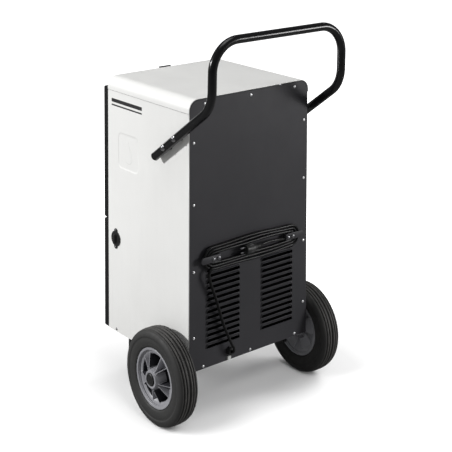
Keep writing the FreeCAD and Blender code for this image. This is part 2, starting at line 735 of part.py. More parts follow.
def tank_body():
    body = new_body("tank")
    profile = new_sketch(body, "XY_Plane", "tank_floor")
    outline(profile, [("-tank_half_width", f"-{REAR}"), ("tank_half_width", f"-{REAR}"),
                      ("tank_half_width", "tank_rear"), ("-tank_half_width", "tank_rear")])
    grow(body, "Pad", profile, "tank_top - tank_floor")
    round_edges(body, "12", lambda edge: is_upright(edge) and edge.BoundBox.YMin > -50)
    doc.recompute()
    hollow = new_sketch(body, "XY_Plane", "tank_top")
    wall = "tank_wall"
    outline(hollow, [(f"-tank_half_width + {wall}", f"-{REAR} + {wall}"),
                     (f"tank_half_width - {wall}", f"-{REAR} + {wall}"),
                     (f"tank_half_width - {wall}", f"tank_rear - {wall} - 9"),
                     (f"tank_half_width - {wall} - 9", f"tank_rear - {wall}"),
                     (f"-tank_half_width + {wall} + 9", f"tank_rear - {wall}"),
                     (f"-tank_half_width + {wall}", f"tank_rear - {wall} - 9")])
    grow(body, "Pocket", hollow, "tank_top - tank_floor - tank_wall")
    return node("tank_body", body)


def tank_lid():
    """The lid, with lugs for the bail above it and the float's pin below it."""
    lid = block(centred("tank_half_width"), (f"-{REAR}", "tank_rear"), ("tank_top", "tank_top + 3"))
    inlet = cylinder("Z", "outlet_x", "outlet_y", "tank_top - 1", "16", "6")
    lugs = [cut(block((f"{x} - 4", f"{x} + 4"), ("bail_y - 8", "bail_y + 8"),
                      ("tank_top + 3", "bail_z + 7")),
                cylinder("X", f"{x} - 6", "bail_y", "bail_z", "bail_radius + running_gap", "12"))
            for x in ("-124", "124")]
    cheeks = [block((x, f"{x} + 3"), ("float_y - 10", "float_y + 10"), ("float_z - 9", "tank_top"))
              for x in ("-68", "-49")]
    pin = cylinder("X", "-68", "float_y", "float_z", "float_pin", "22")
    return node("tank_lid", fuse(cut(lid, inlet), *lugs, *cheeks, pin))


def tank_bail():
    """The wire bail the full tank is carried by, folded back on the lid."""
    axis_y = size("bail_y")
    axis_z = size("bail_z")
    reach = size("bail_reach")
    points = [(-130, axis_y, axis_z), (-108, axis_y, axis_z), (-108, axis_y + reach, axis_z),
              (108, axis_y + reach, axis_z), (108, axis_y, axis_z), (130, axis_y, axis_z)]
    return node("tank_bail", feature(swept(bent_path(points, 8), size("bail_radius"))))


def water_float():
    """The float on its arm, which lifts the magnet that stops the machine when the tank is full."""
    arm = block(("-60", "-54"), ("float_y", "float_y + 80"), ("float_z - 3", "float_z + 3"))
    boss = cylinder("X", "-63", "float_y", "float_z", "7", "12")
    bore = cylinder("X", "-64", "float_y", "float_z", "float_pin + running_gap", "14")
    blob = cylinder("Z", "-57", "float_y + 68", "float_z - 27", "20", "24")
    return node("water_float", cut(fuse(arm, boss, blob), bore))


def float_switch():
    """The reed switch over the tank."""
    housing = block(("-78", "-38"), ("-70", "-30"), ("shelf_z - 14", "shelf_z"))
    return node("float_switch", [housing])


def drip_tray():
    """The tray under the evaporator and condenser."""
    tray = cut(block(centred("coil_half_width + 20"), ("-190", "-40"),
                     ("shelf_z + sheet", "coil_bottom - 4")),
               block(centred("coil_half_width + 18"), ("-188", "-42"),
                     ("shelf_z + sheet + 2", "coil_bottom")),
               cylinder("Z", "outlet_x", "outlet_y", "shelf_z", "6", "10"))
    return node("drip_tray", tray)


def drain_hose():
    """The hose from the drip tray to the tank's inlet, with the branch to the drain port."""
    spout = ring("Z", "outlet_x", "outlet_y", "tank_top + 12", "8", "6", "shelf_z - tank_top - 10.5")
    outlet_x, outlet_y = size("outlet_x"), size("outlet_y")
    drain_y, drain_z = size("drain_y"), size("drain_z")
    far_x = outlet_x + 36
    high = drain_z + 17
    points = [(outlet_x + 8.5, outlet_y, high), (far_x, outlet_y, high), (far_x, drain_y, high),
              (far_x, drain_y, drain_z), (outlet_x + 53.5, drain_y, drain_z)]
    branch = feature(swept(bent_path(points, 8), 7))
    return node("drain_hose", fuse(spout, branch))


# ---------------------------------------------------------------- drain port

def drain_port():
    """The threaded port for a hose, with two screw ears, on the left side panel."""
    face = "cabinet_width/2"
    flange = cylinder("X", face, "drain_y", "drain_z", "drain_radius + 2", "2.5")
    ears = block((face, f"{face} + 2.5"), ("drain_y - 7", "drain_y + 7"),
                 ("drain_z - 31", "drain_z + 31"))
    barrel = cylinder("X", f"{face} - 21.4", "drain_y", "drain_z", "drain_radius - 0.2", "21.4")
    cavity = cylinder("X", f"{face} - 16", "drain_y", "drain_z", "drain_radius - 4", "20")
    spigot = cylinder("X", f"{face} - 16", "drain_y", "drain_z", "9", "13")
    holes = [cylinder("X", f"{face} - 1", "drain_y", f"drain_z + {z}", "screw_radius + 0.1", "5")
             for z in (26, -26)]
    shell = cut(fuse(flange, ears, barrel), cavity, *holes)
    bore = cylinder("X", f"{face} - 22", "drain_y", "drain_z", "6", "30")
    return node("drain_port", cut(fuse(shell, spigot), bore))


def drain_cap():
    """The cap that closes the drain port with a quarter turn."""
    face = "cabinet_width/2"
    skirt = ring("X", f"{face} - 8", "drain_y", "drain_z", "drain_radius - 4.4", "10", "8")
    lid = cylinder("X", face, "drain_y", "drain_z", "drain_radius - 4.4", "3")
    wing = block((f"{face} + 3", f"{face} + 10"), ("drain_y - 3", "drain_y + 3"),
                 ("drain_z - 14", "drain_z + 14"))
    return node("drain_cap", fuse(skirt, lid, wing))


# ---------------------------------------------------------------- refrigeration circuit

def coil_height(row):
    return size("coil_bottom") + size("first_row") + row * size("coil_pitch")


def fin_pack(name, middle):
    """A stack of fins with holes for the coil."""
    half = size("coil_half_width")
    count = int(2 * half / size("fin_pitch"))
    fins = []
    for k in range(count + 1):
        x = f"-coil_half_width + {k}*fin_pitch"
        fins.append(block((x, f"{x} + fin_thickness"),
                          (f"{middle} - fin_depth/2", f"{middle} + fin_depth/2"),
                          ("coil_bottom", "coil_top")))
    holes = [cylinder("X", "-coil_half_width - 5", middle,
                      f"coil_bottom + first_row + {row}*coil_pitch",
                      "coil_radius + seat_gap", "2*coil_half_width + 10")
             for row in range(int(size("coil_rows")))]
    return node(name, cut(compound(fins), *holes))


def coil(name, middle):
    """A serpentine tube through the fin pack."""
    half = size("coil_half_width") + size("coil_overhang")
    y = size(middle)
    points = []
    for row in range(int(size("coil_rows"))):
        ends = (-half, half) if row % 2 == 0 else (half, -half)
        points.extend((x, y, coil_height(row)) for x in ends)
    return node(name, feature(swept(bent_path(points, 16), size("coil_radius"))))


def grommet_sites():
    """The four feet of the compressor."""
    return [(f"compressor_x + {side}*grommet_x", f"compressor_y + {end}*grommet_y")
            for side in (-1, 1) for end in (-1, 1)]


def compressor():
    """The hermetic compressor on its mounting plate."""
    body = new_body("compressor")
    profile = new_sketch(body, "XY_Plane", "compressor_bottom")
    circle(profile, "compressor_x", "compressor_y", "compressor_radius")
    grow(body, "Pad", profile, "compressor_height")
    round_edges(body, "24", lambda edge: edge.BoundBox.XLength > 100 and edge.BoundBox.ZLength < 0.01)
    doc.recompute()
    foot = new_sketch(body, "XY_Plane", "compressor_bottom")
    span_x = ("compressor_x - grommet_x - 12", "compressor_x + grommet_x + 12")
    span_y = ("compressor_y - grommet_y - 12", "compressor_y + grommet_y + 12")
    outline(foot, [(span_x[0], span_y[0]), (span_x[1], span_y[0]),
                   (span_x[1], span_y[1]), (span_x[0], span_y[1])])
    for x, y in grommet_sites():
        circle(foot, x, y, "6.1")
    grow(body, "Pad", foot, "3")
    return node("compressor", body)


def compressor_grommets():
    """Four rubber feet with their studs."""
    parts = []
    base = "cabinet_floor + sheet"
    for x, y in grommet_sites():
        low = cylinder("Z", x, y, base, "11", f"compressor_bottom - ({base})")
        neck = cylinder("Z", x, y, base, "6", "compressor_bottom - cabinet_floor + 4")
        cap = cylinder("Z", x, y, "compressor_bottom + 3", "9", "5")
        parts.append(fuse(low, neck, cap))
    return node("compressor_grommets", parts)


def refrigerant_pipes():
    """Discharge, suction and liquid pipes, with the drier in the liquid pipe."""
    x = -size("pipe_x")
    end_x = -size("coil_half_width") - size("coil_overhang") - 0.5
    low = coil_height(0)
    high = coil_height(size("coil_rows") - 1)
    shell_top = size("compressor_bottom") + size("compressor_height") + 0.2
    shell_x = size("compressor_x")
    shell_y = size("compressor_y")
    hot = size("condenser_y")
    cold = size("evaporator_y")
    suction_y = shell_y - 22
    suction_z = size("suction_z")
    drier_y = (hot + cold) / 2
    drier_low = low + 50
    drier_high = drier_low + 90
    discharge = [(shell_x + 20, shell_y, shell_top), (shell_x + 20, shell_y, shell_top + 28),
                 (x, shell_y, shell_top + 28), (x, shell_y, high), (x, hot, high), (end_x, hot, high)]
    suction = [(end_x, cold, low), (x, cold, low), (x, cold, suction_z), (x, suction_y, suction_z),
               (x, suction_y, shell_top + 18), (shell_x - 20, suction_y, shell_top + 18),
               (shell_x - 20, suction_y, shell_top)]
    liquid_low = [(end_x, hot, low), (x, hot, low), (x, drier_y, low), (x, drier_y, drier_low)]
    liquid_high = [(x, drier_y, drier_high), (x, drier_y, high), (x, cold, high), (end_x, cold, high)]
    pipes = [feature(swept(bent_path(points, 8), size("pipe_radius")))
             for points in (discharge, suction, liquid_low, liquid_high)]
    drier = cylinder("Z", "-pipe_x", str(drier_y), str(drier_low), "2*pipe_radius",
                     str(drier_high - drier_low))
    return node("refrigerant_pipes", pipes + [drier])


# ---------------------------------------------------------------- fan

def fan_rotor():
    """Hub and five pitched blades."""
    hub = cut(cylinder("Y", "0", "fan_front", "fan_z", "fan_hub", "fan_rear - fan_front"),
              cylinder("Y", "0", "fan_front - 1", "fan_z", "fan_shaft + seat_gap", "60"))
    blades = []
    count = int(size("fan_blades"))
    thickness, chord = size("blade_thickness"), size("blade_chord")
    for number in range(count):
        blade = Part.makeBox(thickness, chord, size("fan_radius") - size("fan_hub") + 6)
        blade.translate(FreeCAD.Vector(-thickness / 2, -chord / 2, size("fan_hub") - 6))
        blade.rotate(FreeCAD.Vector(), FreeCAD.Vector(0, 0, 1), size("blade_pitch"))
        blade.rotate(FreeCAD.Vector(), FreeCAD.Vector(0, 1, 0), number * 360 / count)
        blade.translate(FreeCAD.Vector(0, 21, size("fan_z")))
        inside = Part.makeCylinder(size("fan_radius"), 34, FreeCAD.Vector(0, 5, size("fan_z")),
                                   FreeCAD.Vector(0, 1, 0))
        blades.append(feature(blade.common(inside)))
    return node("fan_rotor", fuse(hub, *blades))


def fan_shaft():
    rod = cylinder("Y", "0", "fan_front - 2", "fan_z", "fan_shaft", "motor_front - fan_front + 22")
    return node("fan_shaft", [rod])


def fan_motor():
    """The fan motor with a blind bore for the shaft."""
    shell = cylinder("Y", "0", "motor_front", "fan_z", "motor_radius", "motor_rear - motor_front")
    bore = cylinder("Y", "0", "motor_front - 1", "fan_z", "fan_shaft + running_gap", "24")
    return node("fan_motor", cut(shell, bore))


def fan_bracket():
    """Three arms that carry the motor behind the collar."""
    band = ring("Y", "0", "motor_front + 10", "fan_z", "motor_radius + 4",
                "motor_radius + seat_gap", "24")
    arms = []
    for number in range(3):
        arm = Part.makeBox(14, 3, size("fan_ring") + 18 - size("motor_radius") - 2)
        arm.translate(FreeCAD.Vector(-7, size("motor_front") + 10, size("motor_radius") + 2))
        leg = Part.makeBox(14, size("motor_front") + 13 - size("partition_y") - size("sheet"), 3)
        leg.translate(FreeCAD.Vector(-7, size("partition_y") + size("sheet"), size("fan_ring") + 15))
        piece = arm.fuse(leg)
        piece.rotate(FreeCAD.Vector(), FreeCAD.Vector(0, 1, 0), 60 + number * 120)
        piece.translate(FreeCAD.Vector(0, 0, size("fan_z")))
        arms.append(feature(piece))
    return node("fan_bracket", fuse(band, *arms))


def run_capacitor():
    can = cylinder("Z", "capacitor_x", "capacitor_y", "cabinet_floor + sheet", "capacitor_radius", "92")
    clip = ring("Z", "capacitor_x", "capacitor_y", "cabinet_floor + 44", "capacitor_radius + 2",
                "capacitor_radius + seat_gap", "10")
    return node("run_capacitor", [can, clip])


# ---------------------------------------------------------------- wheels

def axle():
    rod = cylinder("X", "-hub_outer_x - 1", "wheel_y", "axle_z", "axle_radius",
                   "2*hub_outer_x + 2")
    return node("axle", [rod])


def axle_brackets():
    """Two plates under the base pan that hold the axle."""
    plates = []
    for side in SIDES.values():
        span = side_span(side, "bracket_inner_x", "bracket_outer_x")
        depth = ("wheel_y - bracket_half_depth", "wheel_y + bracket_half_depth")
        plate = block(span, depth, ("axle_z - 18", "cabinet_floor"))
        foot = block(side_span(side, "bracket_inner_x - 26", "bracket_outer_x"), depth,
                     ("cabinet_floor - 4", "cabinet_floor"))
        hole = cylinder("X", f"{span[0]} - 1", "wheel_y", "axle_z",
                        "axle_radius + seat_gap", "8")
        plates.append(cut(fuse(plate, foot), hole))
    return node("axle_brackets", plates)


def wheel_spacers():
    """Sleeves between brackets and wheels, and a washer on each side of each hub."""
    rings = (("bracket_outer_x", "rim_inner_x - 2", "15"), ("rim_inner_x - 2", "rim_inner_x - 0.3", "16"),
             ("hub_outer_x - 5.7", "hub_outer_x - 4", "16"))
    parts = []
    for side in SIDES.values():
        for low, high, radius in rings:
            span = side_span(side, low, high)
            parts.append(ring("X", span[0], "wheel_y", "axle_z", radius,
                              "axle_radius + seat_gap", f"({high}) - ({low})"))
    return node("wheel_spacers", parts)


def axle_caps():
    """Push-on caps at the ends of the axle."""
    parts = []
    for side in SIDES.values():
        span = side_span(side, "hub_outer_x - 4", "hub_outer_x + 3")
        shell = cylinder("X", span[0], "wheel_y", "axle_z", "cap_radius", "7")
        bore_span = side_span(side, "hub_outer_x - 4", "hub_outer_x + 1")
        bore = cylinder("X", bore_span[0], "wheel_y", "axle_z", "axle_radius + seat_gap", "5")
        parts.append(cut(shell, bore))
    return node("axle_caps", parts)


def wheel_profile(side, corners):
    """Corners given as (distance from the middle plane, radius), mirrored for the right side."""
    return [(f"{side}*({x})", radius) for x, radius in corners]


def turned(name, side, corners):
    """A body of revolution round its own X axis."""
    body = new_body(name)
    profile = new_sketch(body, "XY_Plane")
    outline(profile, wheel_profile(side, corners))
    revolve(body, profile, "X_Axis")
    return body


def tyre(name):
    """The solid rubber tyre with four grooves round its tread."""
    side = SIDES[name]
    low = "tyre_inner_x"
    high = "tyre_outer_x"
    corners = [(low, "wheel_radius - 24"), (f"{low} + 3", "wheel_radius - 9"),
               (f"{low} + 8", "wheel_radius - 3")]
    for number, drop in enumerate((1.2, 0, 0, 1.2)):
        x = f"{low} + 15 + {number}*10.5"
        corners += [(f"{x} - 2", f"wheel_radius - {drop}"), (f"{x} - 1", "wheel_radius - 4"),
                    (f"{x} + 1", "wheel_radius - 4"), (f"{x} + 2", f"wheel_radius - {drop}")]
    corners += [(f"{high} - 8", "wheel_radius - 3"), (f"{high} - 3", "wheel_radius - 9"),
                (high, "wheel_radius - 24"), (f"{high} - 5", "rim_radius + 1"),
                (f"{high} - 9.4", "rim_radius + 0.3"), (f"{high} - 9.4", "rim_radius - 9"),
                (f"{low} + 9", "rim_radius - 9"), (f"{low} + 9", "rim_radius + 0.3"),
                (f"{low} + 5", "rim_radius + 1")]
    body = turned("tyre", side, corners)
    node(f"tyre_{name}", body)
    return settle_wheel(body)


def settle_wheel(body):
    """Put a wheel part, drawn round the X axis, on the axle."""
    bind(body, "Placement.Base.y", "cabinet_y + wheel_y")
    bind(body, "Placement.Base.z", "axle_z + lift")
    return body


def rim(name):
    """The moulded rim: barrel with two lips, web, hub and five pairs of ribs."""
    side = SIDES[name]
    low = "rim_inner_x"
    high = "rim_outer_x"
    barrel = "rim_radius - 9.2"
    inner = f"{barrel} - rim_wall"
    web = f"{low} + 22"
    corners = [(low, "rim_radius - 9"), (low, "rim_radius"), (f"{low} + 2.6", "rim_radius"),
               (f"{low} + 2.9", barrel), (f"{high} - 3.9", barrel), (f"{high} - 3.6", "rim_radius"),
               (high, "rim_radius"), (high, "rim_radius - 9"), (f"{high} - 12", inner),
               (f"{web} + 6", f"{inner} - 2"), (f"{web} + 6", "hub_radius"),
               ("hub_outer_x", "hub_radius - 2"),
               ("hub_outer_x", "cap_radius + 0.8"), ("hub_outer_x - 6", "cap_radius + 0.8"),
               ("hub_outer_x - 6", "axle_radius + running_gap"), (low, "axle_radius + running_gap"),
               (low, "hub_radius - 2"), (web, "hub_radius"), (web, inner), (f"{low} + 8", inner)]
    body = turned("rim", side, corners)
    windows = new_sketch(body, "YZ_Plane")
    outline(windows, [("-20", "rim_radius - 24"), ("-9", "hub_radius + 8"),
                      ("9", "hub_radius + 8"), ("20", "rim_radius - 24")])
    window = grow(body, "Pocket", windows, "400", reverse=side > 0)
    pattern_round(body, [window])
    ribs = new_sketch(body, "YZ_Plane", f"{side}*({web} + 6)")
    reach = "rim_radius - 16.5"
    for sign in (-1, 1):
        outline(ribs, [(f"{sign}*12", "hub_radius - 5"), (f"{sign}*15", "hub_radius - 5"),
                       (f"{sign}*25", reach), (f"{sign}*22", reach)])
    rib = grow(body, "Pad", ribs, "20", reverse=side < 0)
    pattern_round(body, [rib])
    node(f"rim_{name}", body)
    return settle_wheel(body)


def pattern_round(body, originals):
    """Repeat features five times round the body's X axis."""
    doc.recompute()
    item = body.newObject("PartDesign::PolarPattern", "five")
    item.Originals = originals
    axis = next(part for part in body.Origin.OriginFeatures if part.Role == "X_Axis")
    item.Axis = (axis, [""])
    item.Angle = 360
    item.Occurrences = 5
    body.Tip = item
    doc.recompute()
    return item


# ---------------------------------------------------------------- push bar

def handle_path():
    x = size("handle_x")
    low = (size("handle_low_y"), size("handle_low_z"))
    knee = (size("handle_knee_y"), size("handle_knee_z"))
    top = (size("handle_top_y"), size("handle_top_z"))
    points = [(-x, *low), (-x, *knee), (-x, *top), (x, *top), (x, *knee), (x, *low)]
    knee_bend = size("handle_knee_bend")
    top_bend = size("handle_top_bend")
    return bent_path(points, [knee_bend, top_bend, top_bend, knee_bend])


def handle_tube():
    """The bent push bar, drilled for its four bolts."""
    path = handle_path()
    outer = feature(swept(path, size("handle_radius")))
    inner = feature(swept(path, size("handle_radius") - size("handle_wall")))
    holes = [cylinder("X", f"{side}*handle_x - 20", point.y, point.z, "bolt_radius + 0.1", "40")
             for side in SIDES.values() for point in bolt_points()]
    return node("handle_tube", cut(outer, inner, *holes))


def handle_end_caps():
    """Plugs in the lower ends of the tube, each with a rounded head."""
    along = FreeCAD.Vector(0, size("handle_knee_y") - size("handle_low_y"),
                           size("handle_knee_z") - size("handle_low_z")).normalize()
    bore = size("handle_radius") - size("handle_wall") - size("seat_gap")
    parts = []
    for side in SIDES.values():
        end = FreeCAD.Vector(side * size("handle_x"), size("handle_low_y"), size("handle_low_z"))
        disc = Part.makeCylinder(size("handle_radius"), 4, end - along * 4, along)
        disc = disc.makeFillet(2.5, [disc.Edges[2]])
        stem = Part.makeCylinder(bore, 16, end, along)
        parts.append(feature(disc.fuse(stem)))
    return node("handle_end_caps", parts)


def handle_bolts():
    """Domed bolts through tube, spacer and side panel, each with its nut."""
    outer = "handle_x + handle_radius"
    parts = []
    for side in SIDES.values():
        radii = ("bolt_head", "bolt_head - 3")[::side]
        for point in bolt_points():
            shank = side_span(side, f"{INSIDE} - 10", f"{outer} + 4")
            head = side_span(side, f"{outer} + 0.05", f"{outer} + 4.5")
            nut = side_span(side, f"{INSIDE} - 7", INSIDE)
            stem = cylinder("X", shank[0], point.y, point.z, "bolt_radius",
                            f"{outer} - ({INSIDE}) + 14")
            dome = cone("X", head[0], point.y, point.z, *radii, "4.45")
            back = cylinder("X", nut[0], point.y, point.z, "7", "7")
            parts.append(fuse(stem, dome, back))
    return node("handle_bolts", parts)


def handle_spacers():
    parts = []
    for side in SIDES.values():
        for point in bolt_points():
            span = side_span(side, "cabinet_width/2", "handle_x - handle_radius")
            parts.append(ring("X", span[0], point.y, point.z, "9", "bolt_radius + 0.1",
                              "handle_x - handle_radius - cabinet_width/2"))
    return node("handle_spacers", parts)


# ---------------------------------------------------------------- foot

def front_foot():
    """A strap bent into a wide U, upside down, under the front of the base."""
    depth = ("foot_front", "foot_rear")
    outer = block(centred("foot_half_width"), depth, ("foot_pad", "cabinet_floor"))
    inner = block(centred("foot_half_width - foot_sheet"), ("foot_front - 1", "foot_rear + 1"),
                  ("0", "cabinet_floor - foot_sheet"))
    soles = [block(side_span(side, "foot_half_width - 34", "foot_half_width"), depth,
                   ("foot_pad", "foot_pad + foot_sheet")) for side in SIDES.values()]
    return node("front_foot", fuse(cut(outer, inner), *soles))


def foot_pads():
    parts = [block(side_span(side, "foot_half_width - 36", "foot_half_width + 1"),
                   ("foot_front - 1", "foot_rear + 1"), ("-lift", "foot_pad")) for side in SIDES.values()]
    return node("foot_pads", parts)


# ---------------------------------------------------------------- mains cable

def hook_screw_sites():
    """The two screws of each hook."""
    return [f"{side}*(hook_screw_x + {number}*hook_screw_pitch)"
            for side in SIDES.values() for number in (0, 1)]


def cable_hooks():
    """Two hooks, each a post with a rounded outer end and a flat arm that keeps the cable in."""
    face = f"{REAR} + hook_reach"
    neck = f"{face} - hook_thickness"
    parts = []
    for side in SIDES.values():
        post = block(side_span(side, "post_inner_x", "post_outer_x"), (REAR, neck),
                     ("hook_z - post_radius", "hook_z + post_radius"))
        post_end = cylinder("Y", f"{side}*post_outer_x", REAR, "hook_z", "post_radius",
                            "hook_reach - hook_thickness")
        arm = block(side_span(side, "hook_inner_x", "hook_outer_x - hook_height/2"), (neck, face),
                    ("hook_z - hook_height/2", "hook_z + hook_height/2"))
        arm_end = cylinder("Y", f"{side}*(hook_outer_x - hook_height/2)", neck, "hook_z",
                           "hook_height/2", "hook_thickness")
        holes = [cylinder("Y", x, f"{REAR} - 1", "hook_z", "screw_radius + 0.1", "hook_reach + 2")
                 for x in hook_screw_sites()]
        parts.append(cut(fuse(post, post_end, arm, arm_end), *holes))
    return node("cable_hooks", parts)


def cable_turns():
    """Three closed turns of cable round both posts, one outside the other."""
    y = size("cabinet_depth") / 2 + size("turn_depth")
    middle = size("hook_z")
    bow = size("turn_bow")
    turns = []
    for number in range(3):
        rise = size("turn_first") + number * size("turn_pitch")
        x = size("post_outer_x") + rise
        points = [(0.5, y, middle + rise + bow), (x / 2, y, middle + rise + bow * 0.8),
                  (x, y, middle + rise), (x, y, middle - rise), (x / 2, y, middle - rise - bow * 0.8),
                  (-x / 2, y, middle - rise - bow * 0.8), (-x, y, middle - rise),
                  (-x, y, middle + rise), (-x / 2, y, middle + rise + bow * 0.8),
                  (-0.5, y, middle + rise + bow)]
        end_bend = rise - 1.5
        bends = [300, end_bend, end_bend, 300, 300, end_bend, end_bend, 300]
        turns.append(feature(swept(bent_path(points, bends), size("cable_radius"))))
    return turns


def cable_tail():
    """The strand from the turns down to the gland."""
    panel = size("cabinet_depth") / 2
    over_turns = panel + size("turn_depth") + 8.8
    gland_x, gland_z = size("gland_x"), size("gland_z")
    points = [(142, over_turns, 437), (171, over_turns, 434), (112, panel + 15, 262),
              (gland_x, panel + 24, gland_z + 16), (gland_x, panel + 22, gland_z),
              (gland_x, panel + 14, gland_z)]
    return feature(swept(bent_path(points, [12, 60, 8, 6]), size("cable_radius")))


def plug_lead():
    """The short strand from the plug's neck to the right hook."""
    panel = size("cabinet_depth") / 2
    neck_x = size("plug_face_x") - size("plug_length") - size("plug_neck")
    points = [(neck_x - 1, panel + size("plug_depth"), size("plug_z")),
              (neck_x - 40, panel + 17, size("plug_z") + 1.6), (-120, panel + 11, 463)]
    return feature(swept(bent_path(points, 40), size("cable_radius")))


def cable():
    return node("power_cable", cable_turns() + [cable_tail(), plug_lead()])


def mains_plug():
    """The plug, tucked between the turns."""
    y = f"{REAR} + plug_depth"
    shell = cylinder("X", "plug_face_x - plug_length", y, "plug_z", "plug_radius", "plug_length")
    neck = cone("X", "plug_face_x - plug_length - plug_neck", y, "plug_z", "cable_radius + 0.4",
                "plug_radius - 5", "plug_neck")
    pins = [cylinder("X", "plug_face_x - 1", y, f"plug_z + {side}*pin_offset", "pin_radius",
                     "pin_length") for side in (-1, 1)]
    return node("mains_plug", fuse(shell, neck, *pins))


def cable_gland():
    """The nut and sleeve the cable enters through, and the small clip under them."""
    nut = cylinder("Y", "gland_x", REAR, "gland_z", "gland_radius", "8")
    dome = cone("Y", "gland_x", f"{REAR} + 8", "gland_z", "gland_radius - 1", "gland_radius - 5", "6")
    stem = cylinder("Y", "gland_x", f"{REAR} - 10", "gland_z", "8", "10")
    lock = cylinder("Y", "gland_x", f"{REAR} - sheet - 4", "gland_z", "12", "4")
    clip = block(("gland_x - 5", "gland_x + 8"), (REAR, f"{REAR} + 5"), ("147", "158"))
    return node("cable_gland", [fuse(nut, dome, stem, lock), clip])


def screw(axis, x, y, z, grip, head="screw_head", height="screw_head_height"):
    """A screw whose head rests on the given point; grip is its length under the head."""
    start = {"X": (f"{x} - ({grip})", y, z), "Y": (x, f"{y} - ({grip})", z)}[axis]
    return fuse(cylinder(axis, x, y, z, head, height), cylinder(axis, *start, "screw_radius", grip))


def panel_screws():
    """Every small screw: rear panel, cable hooks and drain port."""
    parts = [screw("Y", x, REAR, z, "screw_length") for x, z in screw_sites()]
    for x in hook_screw_sites():
        parts.append(screw("Y", x, f"{REAR} + hook_reach", "hook_z", "hook_reach",
                           "hook_screw_head", "hook_screw_height"))
    for z in ("drain_z - 26", "drain_z + 26"):
        parts.append(screw("X", "cabinet_width/2 + 2.5", "drain_y", z, "2.5"))
    return node("panel_screws", parts)


# ---------------------------------------------------------------- assembly

def build():
    base_pan()
    side_panel("left")
    side_panel("right")
    roof_cover()
    rear_panel()
    fan_partition()
    divider_shelf()
    front_frame()
    filter_cassette()
    filter_mesh()
    control_bezel()
    display_lens()
    status_lamps()
    for name in BUTTONS:
        push_button(name)
    controller_board()
    tank_front()
    tank_window()
    tank_body()
    tank_lid()
    tank_bail()
    water_float()
    float_switch()
    drip_tray()
    drain_hose()
    drain_port()
    drain_cap()
    fin_pack("evaporator_fins", "evaporator_y")
    coil("evaporator_coil", "evaporator_y")
    fin_pack("condenser_fins", "condenser_y")
    coil("condenser_coil", "condenser_y")
    compressor()
    compressor_grommets()
    refrigerant_pipes()
    fan_rotor()
    fan_shaft()
    fan_motor()
    fan_bracket()
    run_capacitor()
    axle()
    axle_brackets()
    wheel_spacers()
    axle_caps()
    for name in SIDES:
        tyre(name)
        rim(name)
    handle_tube()
    handle_end_caps()
    handle_bolts()
    handle_spacers()
    front_foot()
    foot_pads()
    cable_hooks()
    cable()
    mains_plug()
    cable_gland()
    panel_screws()
    doc.recompute()


def check():
    """Stop on a failed object or a piece that isn't a valid solid."""
    for item in doc.Objects:
        if "Invalid" in item.State or "Error" in item.State:
            raise RuntimeError(f"{item.Label} failed: {item.State}")
    for item in NODES:
        if item.Shape.isNull() or not item.Shape.isValid() or not item.Shape.Solids:
            raise RuntimeError(f"{item.Label} isn't a valid solid")


def write():
    os.makedirs("parts", exist_ok=True)
    for item in NODES:
        item.Shape.exportStep(f"parts/{item.Label}.step")


build()
check()
write()
print(len(NODES), "nodes written")
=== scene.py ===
import json
import math

import bmesh
import bpy
from mathutils import Matrix, Vector
from mathutils.geometry import tessellate_polygon


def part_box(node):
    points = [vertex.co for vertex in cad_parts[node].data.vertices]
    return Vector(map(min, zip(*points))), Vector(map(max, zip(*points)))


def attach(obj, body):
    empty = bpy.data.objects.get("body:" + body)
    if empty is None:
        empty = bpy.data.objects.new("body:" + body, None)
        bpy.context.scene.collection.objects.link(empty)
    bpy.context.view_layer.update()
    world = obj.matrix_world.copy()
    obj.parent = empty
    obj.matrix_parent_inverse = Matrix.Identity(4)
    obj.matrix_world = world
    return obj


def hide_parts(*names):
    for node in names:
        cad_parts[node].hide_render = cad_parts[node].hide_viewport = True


# The look of a commercial dehumidifier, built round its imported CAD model.  Shapes are drawn in
# millimetres in the cabinet's own frame: X is 0 on the middle plane, Y is 0 at the cabinet's mid
# depth with the rear at +Y, and Z is 0 at the height LIFT above the floor.

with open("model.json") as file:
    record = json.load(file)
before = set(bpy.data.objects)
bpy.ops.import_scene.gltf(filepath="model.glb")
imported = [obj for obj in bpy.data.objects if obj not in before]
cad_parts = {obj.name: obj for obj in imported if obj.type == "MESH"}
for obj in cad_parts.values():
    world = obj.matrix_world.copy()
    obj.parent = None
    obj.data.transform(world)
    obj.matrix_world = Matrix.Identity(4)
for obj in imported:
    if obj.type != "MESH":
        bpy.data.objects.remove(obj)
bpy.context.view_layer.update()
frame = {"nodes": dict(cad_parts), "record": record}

MM = 0.001
ROOF_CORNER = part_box("roof_cover")[1]
HALF_DEPTH = 203.5
HALF_WIDTH = ROOF_CORNER.x / MM
CABINET_MIDDLE = ROOF_CORNER.y - HALF_DEPTH * MM
SIDES = {"left": 1, "right": -1}
REAR = HALF_DEPTH
SHEET = 1.5
ROOF_TOP = 926.0
LIFT = ROOF_CORNER.z / MM - ROOF_TOP
WHEEL_Y = 136.0
AXLE_Z = 130.0
AXLE_MIDDLE = (0, WHEEL_Y, AXLE_Z)


def in_frame(point):
    """A point of the cabinet's own frame, in metres in the row frame."""
    return Vector((point[0] * MM, point[1] * MM + CABINET_MIDDLE, (point[2] + LIFT) * MM))


# ---------------------------------------------------------------- node materials


